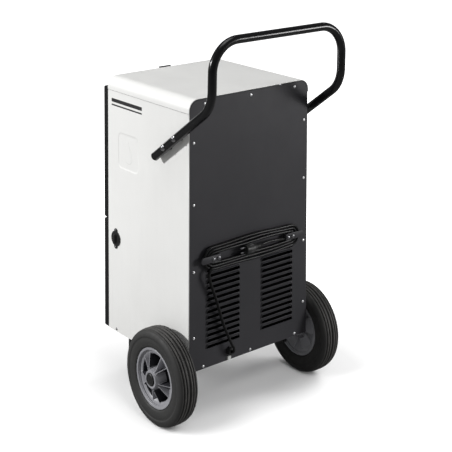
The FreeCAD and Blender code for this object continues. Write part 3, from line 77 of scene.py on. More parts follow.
class Nodes:
    """A material's node tree, with short calls for the nodes used here."""

    def __init__(self, name):
        self.material = bpy.data.materials.new(name)
        self.material.use_nodes = True
        self.tree = self.material.node_tree
        self.shader = self.tree.nodes["Principled BSDF"]
        self.place = self.make("ShaderNodeTexCoord").outputs["Object"]

    def make(self, kind, inputs=None, **settings):
        """A new node with its settings and inputs."""
        node = self.tree.nodes.new(kind)
        for key, value in settings.items():
            setattr(node, key, value)
        for key, value in (inputs or {}).items():
            self.feed(node.inputs[key], value)
        return node

    def feed(self, socket, value):
        """Link another node's output to a socket, or set the socket's own value."""
        if isinstance(value, bpy.types.NodeSocket):
            self.tree.links.new(value, socket)
        else:
            socket.default_value = value

    def noise(self, scale, detail=3.0, place=None):
        """Noise from 0 to 1; scale is per metre."""
        return self.make("ShaderNodeTexNoise", {"Vector": place or self.place, "Scale": scale,
                                                "Detail": detail}).outputs["Fac"]

    def remap(self, value, low, high, from_low=0.0, from_high=1.0):
        """Carry a value from one range to another, clamped."""
        return self.make("ShaderNodeMapRange", {"Value": value, "From Min": from_low,
                                                "From Max": from_high, "To Min": low,
                                                "To Max": high}).outputs["Result"]

    def math(self, operation, first, second=0.0):
        return self.make("ShaderNodeMath", {0: first, 1: second}, operation=operation).outputs[0]

    def vector(self, operation, first, second):
        node = self.make("ShaderNodeVectorMath", {0: first, 1: second}, operation=operation)
        return node.outputs["Value" if operation in ("DOT_PRODUCT", "LENGTH") else "Vector"]

    def mix(self, share, first, second):
        node = self.make("ShaderNodeMix", data_type="RGBA")
        self.feed(node.inputs[0], share)
        self.feed(node.inputs[6], first)
        self.feed(node.inputs[7], second)
        return node.outputs[2]

    def stretched(self, factors):
        """The place on the object, scaled along each axis."""
        return self.vector("MULTIPLY", self.place, factors)

    def surface(self, inputs):
        """Set the shader's inputs and return the material."""
        for key, value in inputs.items():
            self.feed(self.shader.inputs[key], value)
        return self.material

    def bump(self, height, depth, normal=None, strength=1.0):
        """A normal bent by a height; depth is in metres."""
        inputs = {"Height": height, "Distance": depth, "Strength": strength}
        if normal is not None:
            inputs["Normal"] = normal
        return self.make("ShaderNodeBump", inputs).outputs["Normal"]

    def edges(self, radius, low=0.02, high=0.3):
        """1 on convex and concave edges, 0 on flat faces."""
        soft = self.make("ShaderNodeBevel", {"Radius": radius}, samples=4).outputs["Normal"]
        hard = self.make("ShaderNodeNewGeometry").outputs["Normal"]
        turn = self.math("SUBTRACT", 1.0, self.vector("DOT_PRODUCT", soft, hard))
        return self.remap(turn, 0.0, 1.0, low, high)

    def upright_share(self, low, high):
        """0 at height low, 1 at height high, in metres."""
        split = self.make("ShaderNodeSeparateXYZ", {"Vector": self.place})
        return self.remap(split.outputs["Z"], 0.0, 1.0, low, high)


def grey(level, blue=1.0):
    """A grey, bluish where blue is over 1."""
    return (level, level, level * blue, 1.0)


def finish_material(name, colour, second, roughness, spread=0.05, metallic=0.0, patch=6.0,
                    grain=900.0, grain_depth=0.00006, wear=None, wear_share=0.5, wear_radius=0.0012,
                    specular=0.5, coat=0.0, coat_roughness=0.1, extra=None):
    """A surface with two-tone variation, uneven roughness, fine grain and edges in another tint:
    worn edges, and on grey plastic partly a painted highlight.
    """
    nodes = Nodes(name)
    share = nodes.remap(nodes.noise(patch, 4.0), 0.0, 1.0, 0.35, 0.65)
    tint = nodes.mix(share, colour, second)
    rough = nodes.remap(nodes.noise(patch * 5, 5.0), roughness - spread, roughness + spread,
                        0.3, 0.7)
    normal = nodes.bump(nodes.noise(grain, 2.0), grain_depth)
    if extra:
        tint, rough, normal = extra(nodes, tint, rough, normal)
    if wear is not None:
        broken = nodes.remap(nodes.noise(160.0, 4.0), 0.0, 1.0, 0.42, 0.62)
        edge = nodes.math("MULTIPLY", nodes.edges(wear_radius), broken)
        tint = nodes.mix(nodes.math("MULTIPLY", edge, wear_share), tint, wear)
    return nodes.surface({"Base Color": tint, "Roughness": rough, "Normal": normal,
                          "Metallic": metallic, "Specular IOR Level": specular,
                          "Coat Weight": coat, "Coat Roughness": coat_roughness})


def handled(nodes, tint, rough, normal):
    """Faint vertical rub marks and a little dust towards the bottom."""
    streaks = nodes.noise(40.0, 3.0, nodes.stretched((1.0, 1.0, 0.12)))
    tint = nodes.mix(nodes.remap(streaks, 0.0, 0.035, 0.45, 0.75), tint, grey(0.45))
    low = nodes.math("SUBTRACT", 1.0, nodes.upright_share(0.10, 0.40))
    dust = nodes.math("MULTIPLY", low, nodes.remap(nodes.noise(14.0, 5.0), 0.0, 0.10, 0.4, 0.7))
    tint = nodes.mix(dust, tint, (0.50, 0.48, 0.45, 1.0))
    return tint, nodes.math("ADD", rough, nodes.math("MULTIPLY", low, 0.05)), normal


def sand_textured(nodes, tint, rough, normal):
    """The fine pebbled texture of a powder coat."""
    cells = nodes.make("ShaderNodeTexVoronoi", {"Vector": nodes.place, "Scale": 700.0})
    pebbles = nodes.math("SUBTRACT", 1.0, cells.outputs["Distance"])
    normal = nodes.bump(pebbles, 0.00012, normal, 0.55)
    tint = nodes.mix(nodes.remap(pebbles, 0.0, 0.05, 0.5, 1.0), tint, grey(0.09, 1.06))
    return tint, rough, normal


TREAD_DUST = (0.1325, 0.1358)


def wheel_dusted(nodes, tint, rough, normal):
    """Mould rings round the axle, and floor dust on the tread."""
    offset = nodes.vector("SUBTRACT", nodes.place, tuple(in_frame(AXLE_MIDDLE)))
    flat = nodes.vector("MULTIPLY", offset, (0.0, 1.0, 1.0))
    radius = nodes.vector("LENGTH", flat, (0.0, 0.0, 0.0))
    rings = nodes.math("SINE", nodes.math("MULTIPLY", radius, 2600.0))
    normal = nodes.bump(rings, 0.00010, normal, 0.35)
    dust = nodes.remap(radius, 0.0, 1.0, *TREAD_DUST)
    dust = nodes.math("MULTIPLY", dust, nodes.remap(nodes.noise(55.0, 6.0), 0.25, 0.6, 0.35, 0.7))
    tint = nodes.mix(dust, tint, (0.105, 0.10, 0.095, 1.0))
    return tint, nodes.math("ADD", rough, nodes.math("MULTIPLY", dust, 0.2)), normal


def spangled(nodes, tint, rough, normal):
    """The crystal pattern of galvanised sheet."""
    cells = nodes.make("ShaderNodeTexVoronoi", {"Vector": nodes.place, "Scale": 90.0})
    shade = nodes.make("ShaderNodeSeparateColor", {"Color": cells.outputs["Color"]}).outputs[0]
    tint = nodes.mix(nodes.remap(shade, 0.0, 0.45), tint, grey(0.42, 1.04))
    rough = nodes.math("ADD", rough, nodes.remap(shade, -0.08, 0.12))
    return tint, rough, normal


def tarnished(nodes, tint, rough, normal):
    """Brown and dull patches on bare copper."""
    spots = nodes.remap(nodes.noise(70.0, 6.0), 0.0, 0.8, 0.45, 0.7)
    tint = nodes.mix(spots, tint, (0.16, 0.06, 0.03, 1.0))
    return tint, nodes.math("ADD", rough, nodes.math("MULTIPLY", spots, 0.3)), normal


def turned_metal(nodes, tint, rough, normal):
    """Fine drawing lines along the metal."""
    lines = nodes.noise(120.0, 2.0, nodes.stretched((0.4, 6.0, 6.0)))
    return tint, rough, nodes.bump(lines, 0.00004, normal, 0.5)


def open_cells(nodes, tint, rough, normal):
    """The open pores of filter foam, with their insides painted near-black as shade."""
    cells = nodes.make("ShaderNodeTexVoronoi", {"Vector": nodes.place, "Scale": 420.0},
                       feature="DISTANCE_TO_EDGE")
    # Near-black inside each cell: painted shade in the pores.
    pores_and_shade = nodes.remap(cells.outputs["Distance"], 0.0, 1.0, 0.0, 0.25)
    return nodes.mix(pores_and_shade, tint, grey(0.004)), rough, nodes.bump(pores_and_shade, -0.0015, normal)


def jacket_marks(nodes, tint, rough, normal):
    """Scuffs and a little lint on a rubber cable."""
    scuffs = nodes.remap(nodes.noise(90.0, 6.0), 0.0, 0.35, 0.5, 0.75)
    return nodes.mix(scuffs, tint, grey(0.02)), nodes.math("ADD", rough, nodes.math(
        "MULTIPLY", scuffs, 0.2)), normal


WORN_GREY = (0.30, 0.30, 0.30, 1.0)
BARE_STEEL = (0.32, 0.32, 0.33, 1.0)



def look(*basics, **settings):
    """The settings of one finish_material call."""
    return basics, settings


LOOKS = {
    "white_paint": look(
        (0.83, 0.83, 0.815, 1), (0.79, 0.79, 0.775, 1), 0.36, 0.05, patch=3.0,
        grain=700.0, grain_depth=0.00005, wear=(0.42, 0.41, 0.40, 1), wear_share=0.35,
        coat=0.15, coat_roughness=0.25, extra=handled),
    "anthracite_paint": look(
        (0.027, 0.0265, 0.030, 1), (0.033, 0.032, 0.036, 1), 0.50, 0.06,
        patch=4.0, wear=BARE_STEEL, wear_share=0.10, specular=0.25, extra=sand_textured),
    "black_paint": look(
        (0.0035, 0.0035, 0.004, 1), (0.006, 0.006, 0.0065, 1), 0.22, 0.03,
        patch=12.0, grain=500.0, grain_depth=0.000004, wear=WORN_GREY, wear_share=0.10,
        specular=0.25, coat=0.1, coat_roughness=0.12),
    "zinc_sheet": look(
        (0.50, 0.51, 0.52, 1), (0.42, 0.43, 0.44, 1), 0.38, 0.06, metallic=0.9,
        extra=spangled, wear=grey(0.7), wear_share=0.3),
    "bright_steel": look(
        (0.70, 0.70, 0.71, 1), (0.60, 0.60, 0.61, 1), 0.22, 0.07, metallic=1.0,
        patch=30.0, grain=1400.0, grain_depth=0.00003, wear=grey(0.85), wear_share=0.4,
        extra=turned_metal),
    "dark_steel": look(
        (0.26, 0.26, 0.27, 1), (0.20, 0.20, 0.21, 1), 0.32, 0.03, metallic=1.0,
        patch=30.0, grain=1400.0, grain_depth=0.00001, wear=grey(0.4), wear_share=0.3),
    # Near-black: painted shade for the deep pocket wells of the rims.
    "well_painted_shade": look(
        (0.024, 0.024, 0.029, 1), (0.034, 0.034, 0.040, 1), 0.5, 0.06,
        patch=18.0, grain=1300.0, grain_depth=0.00005, specular=0.3),
    "screw_zinc": look(
        (0.88, 0.88, 0.89, 1), (0.80, 0.80, 0.81, 1), 0.42, 0.04, metallic=0.9,
        patch=30.0, grain=1400.0, grain_depth=0.00001, wear=grey(0.9), wear_share=0.3),
    # Near-black with no specular: painted shade behind the rear louvres.
    "louvre_shade_black": look(
        (0.0012, 0.0012, 0.0012, 1), (0.0018, 0.0018, 0.0018, 1), 0.9, 0.03,
        patch=30.0, grain=900.0, grain_depth=0.00005, specular=0.0),
    "black_plastic": look(
        (0.007, 0.007, 0.0073, 1), (0.011, 0.011, 0.0113, 1), 0.40, 0.07,
        patch=20.0, grain=1500.0, grain_depth=0.00008, wear=grey(0.06), wear_share=0.4,
        specular=0.35),
    "moulding_plastic": look(
        (0.008, 0.008, 0.0083, 1), (0.012, 0.012, 0.0123, 1), 0.60, 0.06,
        patch=20.0, grain=1500.0, grain_depth=0.00010, wear=grey(0.04), wear_share=0.3,
        specular=0.10),
    # Grey plastic: its lighter edges are partly rubbed wear and partly a painted highlight on the
    # rim's lip and hub.
    "grey_plastic": look(
        (0.27, 0.27, 0.29, 1), (0.31, 0.31, 0.33, 1), 0.36, 0.07,
        patch=18.0, grain=1300.0, grain_depth=0.00007, wear=grey(0.5, 1.04), wear_share=0.5,
        specular=0.6),
    "white_plastic": look(
        (0.62, 0.63, 0.61, 1), (0.55, 0.56, 0.54, 1), 0.40, 0.06, patch=9.0,
        grain=1000.0, grain_depth=0.00006, wear=grey(0.75), wear_share=0.3),
    "tyre_rubber": look(
        (0.023, 0.023, 0.0225, 1), (0.030, 0.0295, 0.0285, 1), 0.62, 0.07,
        patch=14.0, grain=1600.0, grain_depth=0.00010, wear=(0.07, 0.067, 0.062, 1),
        wear_share=0.5, wear_radius=0.002, specular=0.4, extra=wheel_dusted),
    "black_rubber": look(
        (0.012, 0.012, 0.012, 1), (0.018, 0.018, 0.0178, 1), 0.45, 0.08,
        patch=25.0, grain=1200.0, grain_depth=0.00010, wear=grey(0.04), wear_share=0.4,
        specular=0.35),
    "cable_jacket": look(
        (0.003, 0.003, 0.0033, 1), (0.005, 0.005, 0.0053, 1), 0.33, 0.03,
        patch=30.0, grain=1500.0, grain_depth=0.000005, specular=0.20, extra=jacket_marks),
    "filter_foam": look(
        (0.035, 0.035, 0.038, 1), (0.055, 0.055, 0.058, 1), 0.9, 0.05,
        patch=25.0, grain=900.0, grain_depth=0.0002, extra=open_cells),
    "copper": look(
        (0.72, 0.31, 0.17, 1), (0.60, 0.24, 0.12, 1), 0.28, 0.08, metallic=1.0,
        patch=30.0, grain=1200.0, grain_depth=0.00003, extra=tarnished),
    "fin_aluminium": look(
        (0.62, 0.63, 0.65, 1), (0.50, 0.51, 0.53, 1), 0.34, 0.08, metallic=1.0,
        patch=40.0, grain=1500.0, grain_depth=0.00003, extra=turned_metal),
    "print_ink": look(
        (0.010, 0.010, 0.011, 1), (0.018, 0.018, 0.019, 1), 0.45, 0.05,
        patch=60.0, grain=2500.0, grain_depth=0.00002),
    "pale_ink": look(
        (0.55, 0.56, 0.57, 1), (0.48, 0.49, 0.50, 1), 0.5, 0.05,
        patch=60.0, grain=2500.0, grain_depth=0.00002),
}
MATERIALS = {name: finish_material(name, *basics, **settings)
             for name, (basics, settings) in LOOKS.items()}


def darker(colour, share):
    """An opaque colour with its light cut to a share."""
    return tuple(share * channel for channel in colour[:3]) + (1,)


def clear_material(name, colour, roughness, transmission):
    """Clear or smoked plastic with faint flow marks."""
    nodes = Nodes(name)
    flow = nodes.noise(60.0, 4.0, nodes.stretched((1.0, 1.0, 0.3)))
    tint = nodes.mix(nodes.remap(flow, 0.0, 0.25), colour, darker(colour, 0.7))
    rough = nodes.remap(nodes.noise(200.0, 3.0), roughness, roughness + 0.06)
    normal = nodes.bump(flow, 0.0003, None, 0.3)
    return nodes.surface({"Base Color": tint, "Roughness": rough, "Normal": normal,
                          "Transmission Weight": transmission, "IOR": 1.49})


def glowing_material(name, colour, strength):
    """A lamp or display segment behind diffusing plastic."""
    nodes = Nodes(name)
    glow = nodes.remap(nodes.noise(900.0, 3.0), 0.8, 1.1)
    tint = nodes.mix(nodes.noise(300.0), colour, darker(colour, 0.6))
    rough = nodes.remap(nodes.noise(500.0), 0.2, 0.35)
    return nodes.surface({"Base Color": tint, "Roughness": rough, "Emission Color": tint,
                          "Emission Strength": nodes.math("MULTIPLY", glow, strength),
                          "Normal": nodes.bump(nodes.noise(1200.0), 0.00005)})


MATERIALS["clear_plastic"] = clear_material("clear_plastic", (0.80, 0.85, 0.88, 1), 0.08, 0.75)
MATERIALS["lens"] = clear_material("lens", (0.02, 0.02, 0.025, 1), 0.05, 0.15)
MATERIALS["lamp"] = glowing_material("lamp", (0.05, 0.55, 0.12, 1), 0.8)
MATERIALS["segment"] = glowing_material("segment", (0.75, 0.10, 0.03, 1), 1.6)


# ---------------------------------------------------------------- mesh helpers


class Shape:
    """Points in millimetres and faces that index them."""

    def __init__(self):
        self.points = []
        self.faces = []
        self.flat = []

    def add(self, points, faces, flat=False):
        """Add points and faces; flat says of each new face, or of all, that it is shaded flat."""
        first = len(self.points)
        self.points.extend(Vector(p) for p in points)
        self.faces.extend(tuple(first + i for i in face) for face in faces)
        self.flat.extend(flat if isinstance(flat, list) else [flat] * len(faces))
        return self

    def join(self, *others):
        for other in others:
            self.add(other.points, other.faces, other.flat)
        return self

    def mirrored(self):
        """The same shape on the other side of the middle plane."""
        copy = Shape()
        return copy.add([(-p.x, p.y, p.z) for p in self.points],
                        [tuple(reversed(face)) for face in self.faces], self.flat)


def mesh_from(name, shape, closed=True):
    """A clean mesh in the row frame from a shape."""
    mesh = bpy.data.meshes.new(name)
    mesh.from_pydata([in_frame(p) for p in shape.points], [], shape.faces)
    mesh.polygons.foreach_set("use_smooth", [not flat for flat in shape.flat])
    work = bmesh.new()
    work.from_mesh(mesh)
    loose = [vertex for vertex in work.verts if not vertex.link_faces]
    bmesh.ops.delete(work, geom=loose, context="VERTS")
    bmesh.ops.remove_doubles(work, verts=work.verts, dist=0.00001)
    bmesh.ops.dissolve_degenerate(work, edges=work.edges, dist=0.000001)
    if closed:
        bmesh.ops.recalc_face_normals(work, faces=work.faces)
    work.to_mesh(mesh)
    work.free()
    return mesh


def soften(obj, width, angle):
    """Round the edges that are sharper than an angle in degrees."""
    bevel = obj.modifiers.new("edges", "BEVEL")
    bevel.width = width * MM
    bevel.segments = 2
    bevel.limit_method = "ANGLE"
    bevel.angle_limit = math.radians(angle)
    bevel.harden_normals = True


def piece(name, source, material, body="cabinet", stands_for=(), edge=0.0, smooth=35.0,
          thickness=0.0, closed=True):
    """Make an object of the machine from a shape or a mesh, and let it ride on a body."""
    mesh = source if isinstance(source, bpy.types.Mesh) else mesh_from(name, source, closed)
    mesh.name = name
    obj = bpy.data.objects.new(name, mesh)
    bpy.context.scene.collection.objects.link(obj)
    mesh.materials.clear()
    mesh.materials.append(MATERIALS[material])
    rounded = [face.use_smooth for face in mesh.polygons]
    mesh.set_sharp_from_angle(angle=math.radians(smooth))
    mesh.polygons.foreach_set("use_smooth", rounded)
    if thickness:
        solid = obj.modifiers.new("thickness", "SOLIDIFY")
        solid.thickness = thickness * MM
        solid.offset = -1.0
        solid.use_even_offset = True
    if edge:
        soften(obj, edge, 40)
    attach(obj, body)
    if stands_for:
        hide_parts(*stands_for)
    return obj


def band(count, rows, wrap=True):
    """Quads between consecutive rows of count points each."""
    faces = []
    columns = count if wrap else count - 1
    for row in range(rows - 1):
        for k in range(columns):
            after = (k + 1) % count
            faces.append((row * count + k, row * count + after,
                          (row + 1) * count + after, (row + 1) * count + k))
    return faces


def loft(loops, ends=True, ring=False):
    """Closed loops of equal length, joined one to the next."""
    count = len(loops[0])
    points = [p for loop in loops for p in loop]
    faces = band(count, len(loops))
    if ring:
        last = (len(loops) - 1) * count
        for k in range(count):
            after = (k + 1) % count
            faces.append((last + k, last + after, after, k))
    elif ends:
        faces.append(tuple(range(count - 1, -1, -1)))
        faces.append(tuple(range((len(loops) - 1) * count, len(loops) * count)))
    return Shape().add(points, faces)


def turned(profile, centre, axis, count, flutes=0, depth=0.0):
    """Loops of (distance along the axis, radius, whether fluted) points round an axis."""
    loops = []
    for along, radius, fluted in profile:
        loop = []
        for k in range(count):
            angle = 2 * math.pi * k / count
            reach = radius + depth * math.cos(flutes * angle) if fluted else radius
            c, s = reach * math.cos(angle), reach * math.sin(angle)
            offset = (along, c, s) if axis == "X" else (s, along, c)
            loop.append(Vector(centre) + Vector(offset))
        loops.append(loop)
    return loops


def lathe(profile, centre, axis="X", segments=96, ring=False):
    """Turn (distance along the axis, radius) points round an axis through centre."""
    plain = [(along, radius, False) for along, radius in profile]
    return loft(turned(plain, centre, axis, segments), ends=False, ring=ring)


def shifted(plane, *points):
    """Profile points whose distances are counted from a plane."""
    return [(plane + along, radius) for along, radius in points]


def cylinder(low, high, radius, centre, axis, segments):
    """A round bar between two planes across its axis."""
    profile = [(low, 0.0), (low, radius), (high, radius), (high, 0.0)]
    return lathe(profile, centre, axis, segments)


def bent(points, radii, step=6.0):
    """A polyline whose corners are rounded; step is the angle between points, in degrees."""
    points = [Vector(p) for p in points]
    if not isinstance(radii, (list, tuple)):
        radii = [radii] * (len(points) - 2)
    path = [points[0]]
    for before, corner, after, radius in zip(points, points[1:], points[2:], radii):
        into = (corner - before).normalized()
        out = (after - corner).normalized()
        turn = into.angle(out)
        if turn < 1e-4:
            path.append(corner)
            continue
        reach = radius * math.tan(turn / 2)
        inward = (out - into).normalized()
        centre = corner + inward * (radius / math.cos(turn / 2))
        start = corner - into * reach
        arm = start - centre
        spin = into.cross(out).normalized()
        count = max(2, int(math.degrees(turn) / step))
        for k in range(count + 1):
            path.append(centre + Matrix.Rotation(turn * k / count, 3, spin) @ arm)
    path.append(points[-1])
    return path


def smooth_path(points, count=12):
    """A Catmull-Rom curve through the points."""
    points = [Vector(p) for p in points]
    padded = [2 * points[0] - points[1]] + points + [2 * points[-1] - points[-2]]
    path = []
    for a, b, c, d in zip(padded, padded[1:], padded[2:], padded[3:]):
        for k in range(count):
            t = k / count
            path.append(0.5 * (2 * b + (c - a) * t + (2 * a - 5 * b + 4 * c - d) * t * t
                               + (3 * b - a - 3 * c + d) * t ** 3))
    path.append(points[-1])
    return path


def tube(path, radius, sides=20, ring=False, rounded=0.0):
    """A round bar along a path; rounded is the length of its domed ends."""
    path = [Vector(p) for p in path]
    count = len(path)
    tangents = []
    for k in range(count):
        before = path[k - 1] if k or ring else path[k]
        after = path[(k + 1) % count] if k < count - 1 or ring else path[k]
        tangents.append((after - before).normalized())
    side = tangents[0].orthogonal().normalized()
    frames = []
    for k, tangent in enumerate(tangents):
        side = (side - tangent * side.dot(tangent)).normalized()
        frames.append((side, tangent.cross(side)))
    loops = []
    for k in range(count):
        loops.append([path[k] + radius * (frames[k][0] * math.cos(a) + frames[k][1] * math.sin(a))
                      for a in (2 * math.pi * j / sides for j in range(sides))])
    if rounded:
        for end, sign in ((0, -1), (-1, 1)):
            centre, tangent = path[end], tangents[end] * sign
            cap = []
            for share in (0.35, 0.7, 0.92, 0.999):
                shrink = math.sqrt(1 - share * share)
                cap.append([centre + (p - centre) * shrink + tangent * rounded * share
                            for p in loops[end]])
            loops = list(reversed(cap)) + loops if end == 0 else loops + cap
    return loft(loops, ends=True, ring=ring)


def arc(cx, cz, radius, start, end, count=8):
    """Points of an arc in a plane, angles in degrees."""
    return [(cx + radius * math.cos(math.radians(start + (end - start) * k / count)),
             cz + radius * math.sin(math.radians(start + (end - start) * k / count)))
            for k in range(count + 1)]


def rounded_rectangle(low_u, low_v, high_u, high_v, radius, count=6):
    """Anticlockwise outline."""
    return (arc(high_u - radius, low_v + radius, radius, -90, 0, count)
            + arc(high_u - radius, high_v - radius, radius, 0, 90, count)
            + arc(low_u + radius, high_v - radius, radius, 90, 180, count)
            + arc(low_u + radius, low_v + radius, radius, 180, 270, count))


def shrinking(low_u, low_v, high_u, high_v, radius, least, count=6):
    """A rounded rectangle as a function of how far it is inset; least is its smallest radius."""
    def outline(inset):
        return rounded_rectangle(low_u + inset, low_v + inset, high_u - inset, high_v - inset,
                                 max(least, radius - inset), count)
    return outline


def circle(cu, cv, radius, count=32):
    """Points of a circle in a plane."""
    return [(cu + radius * math.cos(2 * math.pi * k / count),
             cv + radius * math.sin(2 * math.pi * k / count)) for k in range(count)]


PLANES = {
    "X": lambda u, v, depth: (depth, u, v),
    "Y": lambda u, v, depth: (u, depth, v),
    "Z": lambda u, v, depth: (u, v, depth),
}


def face_fill(outline, holes, axis, depth, towards=1):
    """A flat face with holes, seen from the positive or negative side of its axis."""
    loops = [list(outline)] + [list(hole) for hole in holes]
    points = [Vector(PLANES[axis](u, v, depth)) for loop in loops for u, v in loop]
    faces = tessellate_polygon([[Vector((u, v, 0)) for u, v in loop] for loop in loops])
    turned = []
    for face in faces:
        a, b, c = (points[i] for i in face)
        normal = (b - a).cross(c - a)
        along = Vector(PLANES[axis](0, 0, 1)).normalized()
        turned.append(tuple(face) if normal.dot(along) * towards > 0 else tuple(reversed(face)))
    return Shape().add(points, turned, flat=True)


def plate(outline, holes, axis, low, high):
    """A solid slab between two planes, with holes through it."""
    shape = face_fill(outline, holes, axis, low, -1).join(face_fill(outline, holes, axis, high, 1))
    for loop in [outline] + list(holes):
        count = len(loop)
        points = [PLANES[axis](u, v, depth) for depth in (low, high) for u, v in loop]
        shape.add(points, band(count, 2))
    return shape


def box(x, y, z):
    """A rectangular block given its low and high planes."""
    return plate([(x[0], z[0]), (x[1], z[0]), (x[1], z[1]), (x[0], z[1])], [], "Y", y[0], y[1])


def pillow(outline_at, levels, axis):
    """A block whose outline changes from level to level: outline_at(inset) gives each one."""
    loops = [[PLANES[axis](u, v, depth) for u, v in outline_at(inset)] for inset, depth in levels]
    return loft(loops)


def carved(name, base, cutters):
    """Cut a closed shape with other closed shapes and return the new mesh."""
    scene = bpy.context.scene
    objects = []
    for part, shape in (("base", base), ("cutter", cutters)):
        mesh = mesh_from(f"{name}_{part}", shape)
        obj = bpy.data.objects.new(f"{name}_{part}", mesh)
        scene.collection.objects.link(obj)
        objects.append(obj)
    body, tool = objects
    modifier = body.modifiers.new("cut", "BOOLEAN")
    modifier.object = tool
    modifier.operation = "DIFFERENCE"
    modifier.solver = "EXACT"
    modifier.use_self = True
    graph = bpy.context.evaluated_depsgraph_get()
    result = bpy.data.meshes.new_from_object(body.evaluated_get(graph), depsgraph=graph)
    for obj in objects:
        old = obj.data
        bpy.data.objects.remove(obj)
        bpy.data.meshes.remove(old)
    return result


def ease(value):
    """Smooth step from 0 to 1."""
    value = min(1.0, max(0.0, value))
    return value * value * (3 - 2 * value)


# ---------------------------------------------------------------- roof and side panels

ROOF_SEAM = 888.0
ROOF_BEND = 30.0
FLOOR = 146.0
PANEL_TOP = 886.6


def roof_section(inset):
    """The roof's section from one lower edge to the other, shrunk by inset."""
    half = HALF_WIDTH - inset
    bend = ROOF_BEND - inset
    right = [(half, ROOF_SEAM)] + arc(half - bend, ROOF_TOP - inset - bend, bend, 0, 90, 16)
    return right + [(-u, v) for u, v in reversed(right)]


def roof():
    """An inverted tray, bent down over both sides and the front."""
    front_bend = 4.0
    rows = [(0.0, REAR), (0.0, REAR - 20), (0.0, 0.0), (0.0, -HALF_DEPTH + front_bend + 20)]
    for k in range(7):
        angle = math.radians(15 * k)
        rows.append((front_bend * (1 - math.cos(angle)),
                     -HALF_DEPTH + front_bend * (1 - math.sin(angle))))
    loops = [[(u, y, v) for u, v in roof_section(inset)] for inset, y in rows]
    count = len(loops[0])
    shape = Shape().add([p for loop in loops for p in loop], band(count, len(loops), wrap=False))
    last = (len(loops) - 1) * count
    shape.add([], [tuple(k - len(shape.points) for k in range(last, last + count))], flat=True)
    facing = Shape().add(shape.points, [tuple(reversed(face)) for face in shape.faces], shape.flat)
    piece("roof_sheet", facing, "white_paint", stands_for=["roof_cover"], thickness=SHEET,
          edge=0.35, closed=False, smooth=30)


FIELD_MIDDLE = (-96.25, 712.5)
FIELD_HALF = (53.75, 55.5)
FIELD_DEPTH = 1.4
DRAIN = (-161.0, 435.0)


def field_outline(inset):
    """The pressed field on the side panel."""
    (mid_y, mid_z), (half_y, half_z) = FIELD_MIDDLE, FIELD_HALF
    return rounded_rectangle(mid_y - half_y + inset, mid_z - half_z + inset,
                             mid_y + half_y - inset, mid_z + half_z - inset, 18 - inset * 0.6, 8)


def drop_outline(mid_u, mid_v, height, count=40):
    """A plain water drop, pointed at the top."""
    points = []
    for k in range(count):
        angle = 2 * math.pi * k / count
        width = math.sin(angle) * math.sin(angle / 2) ** 1.6
        points.append((mid_u - 0.42 * height * width, mid_v + 0.5 * height * math.cos(angle)))
    return points


def side_panel(name):
    """A side panel folded in at the front and the rear, with a soft pressed field."""
    side = SIDES[name]
    bend = 2.0
    front, rear = -HALF_DEPTH, REAR - SHEET
    flat = [(front + bend, FLOOR), (rear - bend, FLOOR), (rear - bend, PANEL_TOP),
            (front + bend, PANEL_TOP)]
    holes = [field_outline(0.0)]
    if side > 0:
        holes.append(circle(DRAIN[0], DRAIN[1], 21.0, 40))
    shape = face_fill(flat, holes, "X", HALF_WIDTH)
    steps = [(0.0, 0.0), (1.0, 0.13), (2.2, 0.45), (3.4, 0.78), (4.8, 0.95), (8.0, 1.0)]
    loops = [[(HALF_WIDTH - depth * FIELD_DEPTH, u, v) for u, v in field_outline(inset)]
             for inset, depth in steps]
    shape.join(loft(loops, ends=False))
    floor_depth = HALF_WIDTH - steps[-1][1] * FIELD_DEPTH
    drop = drop_outline(FIELD_MIDDLE[0], FIELD_MIDDLE[1] - 2, 66)
    shape.join(face_fill(field_outline(8.0), [drop], "X", floor_depth))
    raised = []
    for inset, height in ((0.0, 0.0), (0.7, 0.35), (1.8, 0.5)):
        share = 1 - inset / 30
        raised.append([(floor_depth + height, FIELD_MIDDLE[0] + (u - FIELD_MIDDLE[0]) * share,
                        FIELD_MIDDLE[1] - 2 + (v - FIELD_MIDDLE[1] + 2) * share)
                       for u, v in drop])
    shape.join(loft(raised, ends=False))
    shape.join(face_fill([(p[1], p[2]) for p in raised[-1]], [], "X", raised[-1][0][0]))
    inner = HALF_WIDTH - 15
    section = [(inner, front)] + [(u, v) for u, v in arc(HALF_WIDTH - bend, front + bend, bend,
                                                         -90, 0, 6)]
    section_rear = arc(HALF_WIDTH - bend, rear - bend, bend, 0, 90, 6) + [(HALF_WIDTH - 24, rear)]
    for part in (section, section_rear):
        points = [(u, v, z) for z in (FLOOR, PANEL_TOP) for u, v in part]
        shape.add(points, band(len(part), 2, wrap=False))
    if side < 0:
        shape = shape.mirrored()
    piece(f"side_sheet_{name}", shape, "white_paint", stands_for=[f"side_panel_{name}"],
          thickness=SHEET, closed=False, smooth=30)


PRINT_FRONT = -183.0
PRINT_REAR = -25.0
PRINT_THICK = 0.15


def print_stripes():
    """Two plain printed stripes of one length, a broad one over a narrow one."""
    stripes = Shape()
    for low, high in ((853.0, 864.0), (842.0, 846.5)):
        outline = rounded_rectangle(PRINT_FRONT, low, PRINT_REAR, high, 2.0)
        stripes.join(plate(outline, [], "X", HALF_WIDTH, HALF_WIDTH + PRINT_THICK))
    piece("side_print", stripes, "print_ink")


# ---------------------------------------------------------------- rear panel

GLAND = (80, 174)
LOUVRE_HALF = 63.5
LOUVRE_X = 102.75
LOUVRE_BOTTOMS = [200.5 + 120.5 * group + 17 * row for group in (0, 1) for row in range(7)]
LOUVRE_TALL = 16.0
LOUVRE_OPEN = 11.7
LOUVRE_PROUD = 5.0
LOUVRE_TAPER = 6.0
SHADE_SHEET_BACK = 14.0


